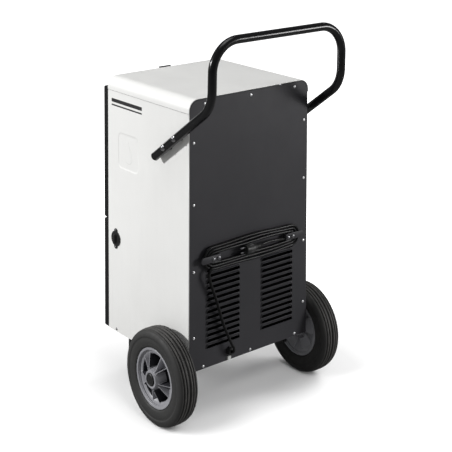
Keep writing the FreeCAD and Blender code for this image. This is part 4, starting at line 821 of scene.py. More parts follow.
def louvre_patch(mid_x, bottom):
    """One pressed louvre: an opening with a straight lower edge under an arched hood."""
    columns = [-LOUVRE_HALF + LOUVRE_TAPER * k / 7 for k in range(8)]
    columns += [-LOUVRE_HALF + LOUVRE_TAPER + (2 * LOUVRE_HALF - 2 * LOUVRE_TAPER) * k / 10
                for k in range(1, 10)]
    columns += [LOUVRE_HALF - LOUVRE_TAPER + LOUVRE_TAPER * k / 7 for k in range(8)]
    rows = 7
    points = []
    for share in (k / rows for k in range(rows + 1)):
        for x in columns:
            open_share = ease((LOUVRE_HALF - abs(x)) / LOUVRE_TAPER)
            lip = LOUVRE_OPEN * open_share
            swell = LOUVRE_PROUD * math.sqrt(open_share) * (0.5 + 0.5 * math.cos(math.pi * share))
            points.append((mid_x + x, REAR + swell, bottom + lip + (LOUVRE_TALL - lip) * share))
    faces = band(len(columns), rows + 1, wrap=False)
    shape = Shape().add(points, [tuple(reversed(face)) for face in faces])
    count = len(columns)
    border = [(p[0], p[2]) for p in points[rows * count:(rows + 1) * count]]
    right = [(points[r * count + count - 1][0], points[r * count + count - 1][2])
             for r in range(rows - 1, -1, -1)]
    left = [(points[r * count][0], points[r * count][2]) for r in range(rows)]
    return shape, border + right + left


def rear_panel():
    """The dark rear panel with two columns of pressed louvres, and near-black sheets behind them as
    painted shade.
    """
    half = 223.2
    top = 924.1
    bend = 28.5
    outline = ([(-half, FLOOR), (half, FLOOR)] + arc(half - bend, top - bend, bend, 0, 90, 14)
               + arc(-half + bend, top - bend, bend, 90, 180, 14))
    holes = [circle(*GLAND, 8.1, 24)]
    patches = []
    for side in (1, -1):
        for bottom in LOUVRE_BOTTOMS:
            patch, border = louvre_patch(side * LOUVRE_X, bottom)
            patches.append(patch)
            holes.append(border)
    shape = face_fill(outline, holes, "Y", REAR).join(*patches)
    piece("rear_sheet", shape, "anthracite_paint", stands_for=["rear_panel"],
          thickness=SHEET, closed=False, smooth=25)
    # Near-black sheets behind the louvres paint the shade seen through their openings.
    shade_sheets = Shape()
    for side in (1, -1):
        span = (side * LOUVRE_X - LOUVRE_HALF - 4, side * LOUVRE_X + LOUVRE_HALF + 4)
        shade_sheets.join(box(span, (REAR - SHADE_SHEET_BACK, REAR - SHADE_SHEET_BACK + 1.0),
                         (LOUVRE_BOTTOMS[0] - 6, LOUVRE_BOTTOMS[-1] + LOUVRE_TALL + 6)))
    piece("louvre_shade_sheets", shade_sheets, "louvre_shade_black")


# ---------------------------------------------------------------- screws and bolts


def pan_head(radius, height, x, y, z):
    """A domed screw head with a cross recess, facing +X."""
    count = 48
    angles = [2 * math.pi * k / count for k in range(count)]
    dome = [(0.0, 1.0), (0.25, 1.0), (0.55, 0.93), (0.80, 0.78), (0.95, 0.62)]
    rings = [(along * height, [radius * share] * count) for along, share in dome]
    cross = [radius * (0.20 + 0.34 * ease((0.5 + 0.5 * math.cos(4 * angle) - 0.55) / 0.3))
             for angle in angles]
    rings += [(height * 0.95, cross), (height * 0.40, cross)]
    return loft([[Vector((x, y, z)) + Vector((along, reach * math.cos(a), reach * math.sin(a)))
                  for reach, a in zip(reaches, angles)] for along, reaches in rings])


def button_head(radius, height, socket, x, y, z):
    """A smooth domed screw head with a small round socket, facing +Y."""
    profile = [(-0.3, 0.0), (-0.3, radius * 0.96), (0.05, radius)]
    for k in range(1, 9):
        angle = math.radians(90 * k / 9)
        profile.append((height * math.sin(angle), radius * math.cos(angle) ** 0.75))
    profile = [(along, reach) for along, reach in profile if reach > socket or along < 0.0]
    profile += [(height, socket), (height * 0.55, socket * 0.9), (height * 0.5, 0.0)]
    return lathe(profile, (x, y, z), "Y", 40)


HOOK_Z = 464.8
HOOK_SCREWS = (132.4, 151.0)
HOOK_FACE = REAR + 18.0


def screws():
    """The screws of the rear panel, the hooks and the drain port."""
    bright = Shape()
    sites = [(x, 154) for x in (-175, 0, 175)] + [(x, 910.5) for x in (-170, 0, 170)]
    sites += [(side * 209, z) for side in (1, -1) for z in (244, 434.5, 627, 804)]
    for x, z in sites:
        bright.join(button_head(4.2, 2.6, 1.0, x, REAR, z))
    piece("rear_screws", bright, "screw_zinc", stands_for=["panel_screws"])
    dark = Shape()
    for side in (1, -1):
        for x in HOOK_SCREWS:
            dark.join(button_head(6.0, 4.0, 1.9, side * x, HOOK_FACE, HOOK_Z))
    for z in (-26, 26):
        dark.join(pan_head(3.8, 2.2, HALF_WIDTH + 2.5, DRAIN[0], DRAIN[1] + z))
    dark.join(pan_head(4.0, 2.2, HALF_WIDTH, -159, 153.5))
    piece("dark_screws", dark, "dark_steel")


HANDLE_X = 242.0
HANDLE_RADIUS = 12.5
HANDLE_LOW = (65.0, 742.0)
HANDLE_KNEE = (325.0, 931.2)
HANDLE_TOP = (329.5, 1109.7)
BOLTS_ALONG = (63.0, 125.0)


def handle_bolt_sites():
    """Where the push bar's bolts go through its straight lower end."""
    low, knee = Vector(HANDLE_LOW), Vector(HANDLE_KNEE)
    along = (knee - low).normalized()
    return [low + along * reach for reach in BOLTS_ALONG]


def handle_bolts():
    """Domed socket bolts with washers through the push bar."""
    heads, sleeves = Shape(), Shape()
    for y, z in handle_bolt_sites():
        outer = HANDLE_X + HANDLE_RADIUS
        head = shifted(outer, (-1.6, 0.0), (-1.6, 8.6), (-0.2, 8.6), (0.2, 7.6), (1.0, 7.5),
                       (2.4, 6.9), (3.6, 5.6), (4.3, 4.0), (4.4, 3.2), (2.0, 2.9), (2.0, 0.0))
        heads.join(lathe(head, (0, y, z), segments=48))
        sleeve = (shifted(HALF_WIDTH, (0, 4.1), (0, 8.6), (0.5, 9.0))
                  + shifted(HANDLE_X - HANDLE_RADIUS, (1.5, 9.0), (1.5, 4.1)))
        sleeves.join(lathe(sleeve, (0, y, z), segments=48, ring=True))
        heads.join(cylinder(HALF_WIDTH - 11, outer, 4.0, (0, y, z), "X", 24))
        nut = shifted(HALF_WIDTH, (-9, 4.0), (-9, 6.6), (-8.4, 7.2), (-2.2, 7.2), (-1.6, 6.6),
                      (-1.6, 4.0))
        heads.join(lathe(nut, (0, y, z), segments=6, ring=True))
    heads.join(heads.mirrored())
    sleeves.join(sleeves.mirrored())
    piece("push_bar_bolts", heads, "dark_steel", stands_for=["handle_bolts"])
    piece("push_bar_sleeves", sleeves, "black_plastic", stands_for=["handle_spacers"])


def push_bar():
    """The bent push bar with plugs in its lower ends."""
    low, knee, top = HANDLE_LOW, HANDLE_KNEE, HANDLE_TOP
    corners = [(-HANDLE_X, *low), (-HANDLE_X, *knee), (-HANDLE_X, *top),
               (HANDLE_X, *top), (HANDLE_X, *knee), (HANDLE_X, *low)]
    path = bent(corners, [92.0, 85.0, 85.0, 92.0], step=3.0)
    piece("push_bar", tube(path, HANDLE_RADIUS, 40), "black_paint", stands_for=["handle_tube"])
    along = (Vector(knee) - Vector(low)).normalized()
    plugs = Shape()
    for side in (1, -1):
        end = Vector((side * HANDLE_X, *low))
        way = Vector((0, along.x, along.y))
        plugs.join(tube([end + way * 0.2, end - way * 1.4], HANDLE_RADIUS + 0.15, 40, rounded=3.4))
    piece("push_bar_plugs", plugs, "black_plastic", stands_for=["handle_end_caps"])


# ---------------------------------------------------------------- wheels

TYRE_RADIUS = AXLE_Z + LIFT
TYRE_MIDDLE = 271.65
TYRE_WALL = 88.0


def tyre_profile():
    """Half of the tyre's section as (distance from its mid plane, radius), tread to bead."""
    tread = [(0.0, 126.2), (3.2, 126.2), (3.9, 129.6), (4.6, 130.0), (7.6, 130.0), (8.3, 129.4),
             (9.0, 126.0), (11.6, 126.0), (12.3, 129.0), (13.0, 129.5), (16.2, 129.2),
             (16.9, 128.4), (17.6, 125.4), (19.8, 125.2), (20.5, 127.6), (21.2, 128.1),
             (24.6, 127.0), (27.0, 124.9), (29.0, 121.6), (30.3, 117.6), (30.9, 113.6)]
    wall = [(30.6, 111.6), (29.6, 110.6), (29.3, 109.4), (29.9, 106.4), (30.1, 102.0),
            (29.4, 97.0), (28.3, 92.5), (27.6, 89.0), (27.0, 87.0), (26.0, 86.0), (24.0, 85.6),
            (22.9, 84.6), (22.9, 76.2)]
    widen = 32.65 / 30.9
    deepen = (TYRE_RADIUS - TYRE_WALL) / (130.0 - TYRE_WALL)
    return [(h * widen, TYRE_WALL + (r - TYRE_WALL) * deepen) if r > TYRE_WALL else (h, r)
            for h, r in tread + wall]


def tyre(name):
    """A solid rubber tyre with grooves round its tread and a step in its side wall."""
    half = tyre_profile()
    section = [(-h, r) for h, r in reversed(half)] + half[1:]
    shape = lathe(shifted(TYRE_MIDDLE, *section), AXLE_MIDDLE, segments=160, ring=True)
    if SIDES[name] < 0:
        shape = shape.mirrored()
    piece(f"tyre_rubber_{name}", shape, "tyre_rubber", f"wheel_{name}", [f"tyre_{name}"],
          smooth=50)


POCKET_COUNT = 5
POCKET_TURN = math.radians(20.0)
POCKET_FLOOR = 12.0
RIB_WIDTH = 1.9
HUB = 26.5
RIM_IN = 245.0
RIM_OUT = 299.0
HUB_END = 311.0


def rib_angle(radius):
    """Angle from a pocket's middle to the straight rib beside it."""
    offset = 12.5 + 0.27 * (radius - 22.0)
    room = math.radians(35.0) - 2.2 * RIB_WIDTH / radius
    return min(math.asin(min(1.0, offset / radius)), room)


def rim_columns(radius):
    """Angles round the rim at which pockets, ribs and spokes start and end, with their heights."""
    rib_in = rib_angle(radius)
    edge = rib_in - math.radians(0.9)
    rib_width = RIB_WIDTH / radius
    columns = []
    sector = 2 * math.pi / POCKET_COUNT
    for k in range(POCKET_COUNT):
        centre = POCKET_TURN + k * sector
        marks = [(-sector / 2, 0), (-(rib_in + 2.2 * rib_width), 0),
                 (-(rib_in + rib_width * 1.15), 0), (-(rib_in + rib_width * 0.85), 1),
                 (-rib_in, 1), (-(edge - 0.012), 2), (-edge * 0.5, 3), (0.0, 3),
                 (edge * 0.5, 3), (edge - 0.012, 2), (rib_in, 1), (rib_in + rib_width * 0.85, 1),
                 (rib_in + rib_width * 1.15, 0), (rib_in + 2.2 * rib_width, 0)]
        columns += [(centre + angle, kind) for angle, kind in marks]
    return columns


RIM_RADII = [75.8, 74.6, 72.6, 70.6, 68.6, 66.8, 65.2, 63.6, 62.0, 60.0, 56.0, 51.0, 46.0, 41.0,
             37.0, 35.2, 33.6, 31.6, 29.4, 27.4, 26.5]
WELL_RADII = (31.6, 66.8)
LIP_ANGLES_AT = 70.0
VALVE_RADIUS = 55


def rim_face(outward):
    """One side of the rim: lip, conical dish, ribbed spokes, pockets and hub."""
    web = RIM_IN + 27.0 if outward > 0 else RIM_IN + 23.0
    lip = RIM_OUT if outward > 0 else RIM_IN
    loops = []
    for radius in RIM_RADII:
        dish_share = ease((radius - 40.0) / 35.8)
        dish = web + outward * 5.0 + (lip - outward * 7.0 - web - outward * 5.0) * dish_share ** 1.6
        if outward > 0:
            rise = (RIM_RADII[0] - radius) / (RIM_RADII[0] - HUB)
            rib = max(dish, RIM_OUT - 9.0 + (HUB_END - 6.0 - RIM_OUT + 9.0) * rise)
            dish += (HUB_END - 8.0 - dish) * ease((30.5 - radius) / 4.0)
        else:
            rib_share = ease((74.0 - radius) / 10.0) * ease((radius - 24.0) / 5.0)
            rib = dish - (3.0 + 7.0 * (75.0 - radius) / 50.0) * rib_share
        deep = ease((66.5 - radius) / 3.4) * ease((radius - 32.2) / 3.0)
        floor = RIM_IN + POCKET_FLOOR - (3.0 if outward < 0 else 0.0)
        sunk = dish + (floor - dish) * deep
        heights = {0: dish, 1: rib, 2: sunk, 3: sunk}
        loops.append([(heights[kind], WHEEL_Y + radius * math.cos(angle),
                       AXLE_Z + radius * math.sin(angle))
                      for angle, kind in rim_columns(radius)])
    return loops


def without_wells(shape, first_row):
    """Split a rim into the rim itself and the wells of its outer pockets, which get a near-black
    material as painted shade.
    """
    kinds = [kind for _, kind in rim_columns(RIM_RADII[0])]
    count = len(kinds)
    rim_part, wells = Shape(), Shape()
    for number, face in enumerate(shape.faces):
        row, column = divmod(number, count)
        inner = row - first_row
        sunk = max(kinds[column], kinds[(column + 1) % count]) >= 2
        if sunk and 0 <= inner < len(RIM_RADII) - 1 and (
                WELL_RADII[0] <= RIM_RADII[inner + 1] and RIM_RADII[inner] <= WELL_RADII[1]):
            wells.faces.append(face)
            wells.flat.append(False)
        else:
            rim_part.faces.append(face)
            rim_part.flat.append(False)
    rim_part.points = list(shape.points)
    wells.points = list(shape.points)
    return rim_part, wells


def rim(name):
    """The moulded rim: a barrel between two lips, and five ribbed pockets on each side."""
    angles = [angle for angle, _ in rim_columns(LIP_ANGLES_AT)]

    def rings(plane, *points):
        return [[(along, WHEEL_Y + radius * math.cos(a), AXLE_Z + radius * math.sin(a))
                 for a in angles] for along, radius in shifted(plane, *points)]

    outer_lip = rings(RIM_OUT, (-3.8, 75.8), (-3.6, 84.4), (-3.0, 85.0), (-0.5, 85.0), (0, 84.4),
                      (0, 79.4), (-0.8, 78.2), (-4.0, 77.0), (-6.0, 76.4))
    inner_lip = rings(RIM_IN, (6.0, 76.4), (4.0, 77.0), (0.8, 78.2), (0, 79.4), (0, 84.4),
                      (0.5, 85.0), (2.4, 85.0), (2.8, 84.4), (3.0, 75.8))
    hub_out = rings(HUB_END, (-4.6, 25.6), (-0.8, 24.8), (0, 24.0), (0, 19.2), (-0.6, 18.4),
                    (-5.6, 18.3), (-5.6, 10.06))
    hub_in = rings(RIM_IN, (0, 10.06), (0, 23.6), (0.8, 24.5), (8.0, 25.6))
    loops = outer_lip + rim_face(1) + hub_out + hub_in + rim_face(-1)[::-1] + inner_lip
    shape, wells = without_wells(loft(loops, ends=False, ring=True), len(outer_lip))
    boss = Vector((0, WHEEL_Y + VALVE_RADIUS * math.cos(POCKET_TURN),
                   AXLE_Z + VALVE_RADIUS * math.sin(POCKET_TURN)))
    shape.join(lathe([(RIM_IN + 17, 0.0), (RIM_IN + 17, 5.6), (RIM_OUT - 20, 5.0),
                      (RIM_OUT - 18.6, 4.0), (RIM_OUT - 18.6, 0.0)], boss, segments=24))
    if SIDES[name] < 0:
        shape = shape.mirrored()
        wells = wells.mirrored()
    piece(f"wheel_rim_{name}", shape, "grey_plastic", f"wheel_{name}", [f"rim_{name}"], smooth=38)
    # The outer pocket wells are a separate near-black piece: painted shade in the deep pockets.
    piece(f"wheel_wells_{name}", wells, "well_painted_shade", f"wheel_{name}")


def axle_ends():
    """Push-on caps with a shallow groove, and the sleeves and washers beside the hubs."""
    cap = shifted(HUB_END, (-4, 0.0), (-4, 16.6), (-3.4, 17.4), (1.4, 17.4), (2.6, 16.4),
                  (3.0, 15.0), (2.2, 13.4), (1.6, 11.8), (2.0, 9.4), (2.4, 0.0))
    caps = lathe(cap, AXLE_MIDDLE, segments=64)
    caps.join(caps.mirrored())
    piece("axle_end_caps", caps, "black_plastic", stands_for=["axle_caps"])
    sleeves = Shape()
    for low, high, radius in ((182.0, 243.0, 15.0), (243.0, 244.7, 16.0),
                              (HUB_END - 5.7, HUB_END - 4.0, 16.0)):
        profile = [(low, 10.05), (low, radius - 0.5), (low + 0.5, radius), (high - 0.5, radius),
                   (high, radius - 0.5), (high, 10.05)]
        sleeves.join(lathe(profile, AXLE_MIDDLE, segments=64, ring=True))
    sleeves.join(sleeves.mirrored())
    piece("axle_sleeves", sleeves, "bright_steel", stands_for=["wheel_spacers"])


# ---------------------------------------------------------------- front mouldings

FRONT = -HALF_DEPTH - 22.4
SPLIT = 485.5
MOULDING_EDGE = 3.0
INTAKE_SLOTS = 12
INTAKE_LOW = 520.0
INTAKE_PITCH = 22.0
INTAKE_TALL = 13.0


def moulding(low, high):
    """A front moulding with rounded front edges."""
    levels = [(0.0, -HALF_DEPTH), (0.0, FRONT + MOULDING_EDGE)]
    for k in range(1, 7):
        angle = math.radians(15 * k)
        levels.append((MOULDING_EDGE * (1 - math.cos(angle)),
                       FRONT + MOULDING_EDGE * (1 - math.sin(angle))))
    return pillow(shrinking(-HALF_WIDTH, low, HALF_WIDTH, high, 5.0, 0.4, 4), levels, "Y")


def upper_front():
    """The air intake with its two columns of slots, and the pocket for the filter."""
    tools = Shape()
    tools.join(box((-190.8, 190.8), (-222.3, -208.7), (506.0, 895.0)))
    tools.join(box((-176.0, 176.0), (-209.5, -202.0), (514.0, 872.0)))
    for row in range(INTAKE_SLOTS):
        low = INTAKE_LOW + INTAKE_PITCH * row
        for side in (1, -1):
            span = sorted((side * 5.0, side * 172.0))
            slot = rounded_rectangle(span[0], low, span[1], low + INTAKE_TALL, 4.0, 5)
            tools.join(plate(slot, [], "Y", FRONT - 3, -221.5))
    mesh = carved("intake", moulding(SPLIT + 1.5, 894.0), tools)
    piece("intake_moulding", mesh, "moulding_plastic", stands_for=["front_frame"], edge=0.6)


def tank_front():
    """The tank's front with its grip recess, level window and hollow back."""
    tools = Shape()
    tools.join(pillow(shrinking(-70, 440, 70, 470, 9, 0.5),
                      [(-1.5, FRONT - 3), (0.0, FRONT + 1.5), (1.0, FRONT + 12.5),
                       (2.2, FRONT + 14)], "Y"))
    window = rounded_rectangle(-8, 210, 8, 380, 1.2, 4)
    tools.join(plate(window, [], "Y", FRONT - 3, -200.0))
    for side in (1, -1):
        span = sorted((side * 14.0, side * 184.0))
        tools.join(box(span, (FRONT + 3.0, -200.0), (158.0, 430.0)))
    mesh = carved("tank_front", moulding(145.0, SPLIT - 1.5), tools)
    piece("tank_moulding", mesh, "moulding_plastic", "tank", ["tank_front"], edge=0.6)
    glass = pillow(shrinking(-7.8, 210.2, 7.8, 379.8, 1.2, 0.3, 4),
                   [(0.0, -204.0), (0.0, FRONT + 1.8), (0.8, FRONT + 1.0)], "Y")
    piece("level_window", glass, "clear_plastic", "tank", ["tank_window"])
    marks = Shape()
    for k in range(9):
        length = 8.0 if k % 4 == 0 else 5.0
        z = 222.0 + 18.0 * k
        marks.join(plate(rounded_rectangle(10.5, z - 0.6, 10.5 + length, z + 0.6, 0.4, 2), [],
                         "Y", FRONT - 0.12, FRONT))
    piece("level_marks", marks, "pale_ink", "tank")


def filter_parts():
    """The filter's frame with a ribbed pull tab."""
    outer = rounded_rectangle(-190, 506.5, 190, 884, 5, 4)
    windows = []
    edges = [520.0, 597.0, 603.0, 697.0, 703.0, 787.0, 793.0, 870.0]
    for low, high in zip(edges[::2], edges[1::2]):
        windows.append(rounded_rectangle(-176, low, 176, high, 3, 3))
    shape = plate(outer, windows, "Y", -221.5, -209.5)
    section = [(-214.0, 880.0), (-214.0, 922.0), (-214.4, 924.5), (-215.6, 926.1), (-217.0, 926.5),
               (-221.0, 926.5), (-222.0, 925.7), (-222.0, 924.1), (-221.2, 923.5),
               (-218.2, 923.5), (-217.3, 922.7), (-217.0, 921.3), (-217.0, 880.0)]
    shape.join(loft([[(x, v, w) for v, w in section] for x in (-22.0, 22.0)]))
    for k in range(5):
        z = 892.0 + 6.0 * k
        shape.join(tube([(-14, -217.2, z), (14, -217.2, z)], 0.9, 10, rounded=0.9))
    piece("filter_frame", shape, "black_plastic", "filter", ["filter_cassette"], edge=0.4)


BEZEL_FRONT = FRONT - 5.6
BUTTONS = {"power": -51.0, "down": -17.0, "up": 17.0, "timer": 51.0}
BUTTON_Z = 824.0
LAMP_X = 52
LAMP_Z = 856
DIGITS_LOW = 846.8


def control_panel():
    """The bezel with its lens, lamps, and four round keys with plain symbols."""
    base = pillow(shrinking(-100, 805, 100, 879, 12, 1.0, 8),
                  [(0.0, FRONT), (0.0, BEZEL_FRONT + 2.0), (0.6, BEZEL_FRONT + 0.6),
                   (2.0, BEZEL_FRONT)], "Y")
    tools = Shape()
    tools.join(plate(rounded_rectangle(-34, 843, 34, 869, 2), [], "Y", BEZEL_FRONT - 2,
                     BEZEL_FRONT + 2))
    for x in BUTTONS.values():
        bore = (shifted(BEZEL_FRONT, (-2, 0.0), (-2, 8.4), (1.2, 8.4), (1.2, 9.6))
                + shifted(FRONT, (2, 9.6), (2, 0.0)))
        tools.join(lathe(bore, (x, 0, BUTTON_Z), "Y", 48))
    for side in (1, -1):
        tools.join(cylinder(BEZEL_FRONT - 2, BEZEL_FRONT + 2, 2.6, (side * LAMP_X, 0, LAMP_Z),
                            "Y", 32))
    mesh = carved("bezel", base, tools)
    piece("control_fascia", mesh, "black_plastic", stands_for=["control_bezel"], edge=0.3)
    lens = pillow(shrinking(-33.8, 843.2, 33.8, 868.8, 2, 0.5, 5),
                  [(0.0, BEZEL_FRONT + 2.0), (0.0, BEZEL_FRONT + 0.7), (0.5, BEZEL_FRONT + 0.4)],
                  "Y")
    piece("display_glass", lens, "lens", stands_for=["display_lens"])
    lamps = Shape()
    for side in (1, -1):
        lamp = shifted(BEZEL_FRONT, (1.8, 0.0), (1.8, 2.5), (0.3, 2.5), (-0.1, 1.6), (-0.2, 0.0))
        lamps.join(lathe(lamp, (side * LAMP_X, 0, LAMP_Z), "Y", 32))
    piece("indicator_lamps", lamps, "lamp", stands_for=["status_lamps"])
    digits = Shape()
    for digit_x, lit in ((-12.0, "acdfg"), (4.0, "abcdef")):
        bars = {"a": (0, 17, 8, 1.6), "g": (0, 8.5, 8, 1.6), "d": (0, 0, 8, 1.6),
                "f": (-0.8, 9.3, 1.6, 8), "b": (7.2, 9.3, 1.6, 8),
                "e": (-0.8, 0.8, 1.6, 8), "c": (7.2, 0.8, 1.6, 8)}
        for bar in lit:
            u, v, wide, tall = bars[bar]
            x = digit_x + u
            low = DIGITS_LOW + v
            digits.join(plate(rounded_rectangle(x, low, x + wide, low + tall, 0.6, 2), [], "Y",
                              BEZEL_FRONT + 0.28, BEZEL_FRONT + 0.4))
    piece("display_digits", digits, "segment")
    for name, x in BUTTONS.items():
        profile = shifted(BEZEL_FRONT, (2.6, 0.0), (2.6, 9.2), (1.4, 9.2), (1.4, 8.0), (-0.7, 8.0),
                          (-1.3, 7.4), (-1.2, 5.0), (-1.0, 0.0))
        key = lathe(profile, (x, 0, BUTTON_Z), "Y", 64)
        piece(f"{name}_key_top", key, "grey_plastic", f"{name}_key", [f"{name}_button"])
        piece(f"{name}_symbol", key_symbol(name, x, BUTTON_Z), "pale_ink", f"{name}_key")


def key_symbol(name, x, z):
    """A plain raised symbol: a broken ring, an arrowhead or a clock."""
    face = BEZEL_FRONT - 1.32
    back = BEZEL_FRONT - 0.9

    def moved(points):
        return [(x + u, z + v) for u, v in points]

    symbols = {
        "up": [([(-3.6, -2.2), (3.6, -2.2), (0.0, 3.2)], [])],
        "down": [([(0.0, -3.2), (3.6, 2.2), (-3.6, 2.2)], [])],
        "power": [(arc(0, 0, 3.8, 120, 420, 24) + arc(0, 0, 2.9, 420, 120, 24), []),
                  (rounded_rectangle(-0.5, 0.6, 0.5, 4.6, 0.3, 2), [])],
        "timer": [(circle(0, 0, 3.9, 40), [circle(0, 0, 3.1, 40)]),
                  ([(-0.4, -0.4), (0.4, -0.4), (0.4, 2.6), (-0.4, 2.6)], []),
                  ([(0.4, -0.4), (2.2, -0.4), (2.2, 0.4), (0.4, 0.4)], [])],
    }
    shape = Shape()
    for outline, holes in symbols[name]:
        shape.join(plate(moved(outline), [moved(hole) for hole in holes], "Y", face, back))
    return shape


# ---------------------------------------------------------------- foot


def foot():
    """The strap foot with folded corners and its ribbed rubber pads."""
    half, sheet = 200.0, 4.0
    low, high = 8.0, 146.0
    outer = bent([(half - 34, 0, low), (half, 0, low), (half, 0, high), (-half, 0, high),
                  (-half, 0, low), (-half + 34, 0, low)], 10.0, 12.0)
    inner = bent([(half - 34, 0, low + sheet), (half - sheet, 0, low + sheet),
                  (half - sheet, 0, high - sheet), (-half + sheet, 0, high - sheet),
                  (-half + sheet, 0, low + sheet), (-half + 34, 0, low + sheet)], 6.0, 12.0)
    section = [(p.x, p.z) for p in outer] + [(p.x, p.z) for p in reversed(inner)]
    shape = plate(section, [], "Y", -132.0, -92.0)
    piece("foot_strap", shape, "black_paint", stands_for=["front_foot"], edge=0.6)
    pads = Shape()
    for side in (1, -1):
        mid = side * (half - 17.5)
        pads.join(pillow(shrinking(mid - 18.5, -133, mid + 18.5, -91, 5, 0.5, 5),
                         [(1.5, -LIFT), (0.0, 1.5 - LIFT), (0.0, 6.6), (1.4, 8.0)], "Z"))
        for k in range(4):
            y = -126.0 + k * 9.3
            pads.join(tube([(mid - 12, y, 0.9 - LIFT), (mid + 12, y, 0.9 - LIFT)], 0.9, 10,
                           rounded=0.9))
    piece("foot_rubbers", pads, "black_rubber", stands_for=["foot_pads"])


# ---------------------------------------------------------------- drain port


def drain():
    """The drain port's flange with two screw ears, and its ribbed quarter-turn cap."""
    mid_y, mid_z = DRAIN
    face = HALF_WIDTH
    flange, ear, waist = 23.0, 31.0, 7.5
    reach = math.sqrt(flange ** 2 - waist ** 2)
    start = math.degrees(math.atan2(reach, waist))
    outline = (arc(0, 0, flange, -start, start, 20) + arc(0, ear - waist, waist, 0, 180, 10)
               + arc(0, 0, flange, 180 - start, 180 + start, 20)
               + arc(0, -ear + waist, waist, 180, 360, 10))
    outline = [(mid_y + u, mid_z + v) for u, v in outline]
    holes = [circle(mid_y, mid_z, 17.0, 48)]
    shape = plate(outline, holes, "X", face, face + 2.5)
    centre = (0, mid_y, mid_z)
    collar = shifted(face, (-21.4, 17.0), (-21.4, 20.8), (-0.1, 20.8), (-0.1, 17.0))
    spigot = shifted(face, (-16, 6.0), (-16, 9.0), (-3.4, 9.0), (-3.0, 8.6), (-3.0, 6.0))
    back = shifted(face, (-21.4, 6.0), (-21.4, 17.2), (-16.0, 17.2), (-16.0, 6.0))
    for profile, segments in ((collar, 48), (spigot, 40), (back, 48)):
        shape.join(lathe(profile, centre, segments=segments, ring=True))
    piece("drain_flange", shape, "black_plastic", stands_for=["drain_port"], edge=0.5)
    profile = [(-1.0, 0.01, False), (-1.0, 10.2, False), (-8.0, 10.2, False), (-8.0, 15.6, False),
               (0.2, 15.8, False), (0.6, 16.2, True), (2.2, 16.4, True), (3.0, 15.8, True),
               (3.2, 14.6, False), (2.6, 12.8, False), (2.4, 9.0, False), (2.8, 0.01, False)]
    cap = loft(turned(profile, (face, mid_y, mid_z), "X", 144, flutes=24, depth=0.45))

    def wing(inset):
        return rounded_rectangle(mid_y - 3 + inset, mid_z - 14 + inset * 1.5, mid_y + 3 - inset,
                                 mid_z + 14 - inset * 1.5, max(0.6, 2.6 - inset), 5)
    cap.join(pillow(wing, [(-0.6, face + 2.2), (0.0, face + 3.6), (0.2, face + 8.6),
                           (0.8, face + 9.6), (1.6, face + 10.0)], "X"))
    piece("drain_cap_wing", cap, "black_plastic", "cap", ["drain_cap"])


# ---------------------------------------------------------------- cable and its hooks

CABLE = 4.2
CABLE_Y = REAR + 9.4
POST = (126.0, 148.0)
POST_RADIUS = 9.0
ARM_END = 195.0


def hooks():
    """Two moulded hooks: a post against the panel with an arm that holds the cable in."""
    shape = Shape()

    def arm(inset):
        low = POST[0] - 2
        return (arc(ARM_END - 10, HOOK_Z, 10 - inset, -90, 90, 12)
                + arc(low + 4, HOOK_Z + 6, 4 - inset, 90, 180, 4)
                + arc(low + 4, HOOK_Z - 6, 4 - inset, 180, 270, 4))

    def post(flare):
        radius = POST_RADIUS + flare
        return (arc(POST[1], HOOK_Z, radius, -90, 90, 14)
                + [(POST[0] - flare, HOOK_Z + radius), (POST[0] - flare, HOOK_Z - radius)])

    shape.join(pillow(arm, [(0.4, HOOK_FACE - 4.2), (0.0, HOOK_FACE - 3.6), (0.0, HOOK_FACE - 1.2),
                            (0.4, HOOK_FACE - 0.35), (1.2, HOOK_FACE)], "Y"))
    shape.join(pillow(post, [(1.2, REAR + 0.02), (0.0, REAR + 1.4), (0.0, HOOK_FACE - 3.0)], "Y"))
    shape.join(shape.mirrored())
    piece("hook_mouldings", shape, "anthracite_paint", stands_for=["cable_hooks"], smooth=30)


TURNS = 3
TURN_FIRST = 13.4
TURN_PITCH = 8.8
RUN_STEPS = 12


def cable_run(rise, number, upwards):
    """Points of one turn's upper or lower run, from +X to -X, bowed and a little uneven."""
    points = []
    for k in range(RUN_STEPS + 1):
        share = k / RUN_STEPS
        bow = (4.0 if upwards else 3.0) * math.sin(math.pi * share)
        stray = math.sin(2.9 * math.pi * share + number + upwards)
        lift = rise + bow + stray
        points.append((POST[1] * (1 - 2 * share), CABLE_Y + 0.7 * math.sin(5 * share + 2 * number),
                       HOOK_Z + (lift if upwards else -lift)))
    return points


def cable_end(rise, side):
    """Points of a turn where it goes round a post, from its upper run down when side is -1."""
    points = []
    for k in range(1, 8):
        angle = math.pi * (k / 8 - 0.5 * side)
        points.append((side * POST[1] + rise * math.cos(angle), CABLE_Y,
                       HOOK_Z + rise * math.sin(angle)))
    return points


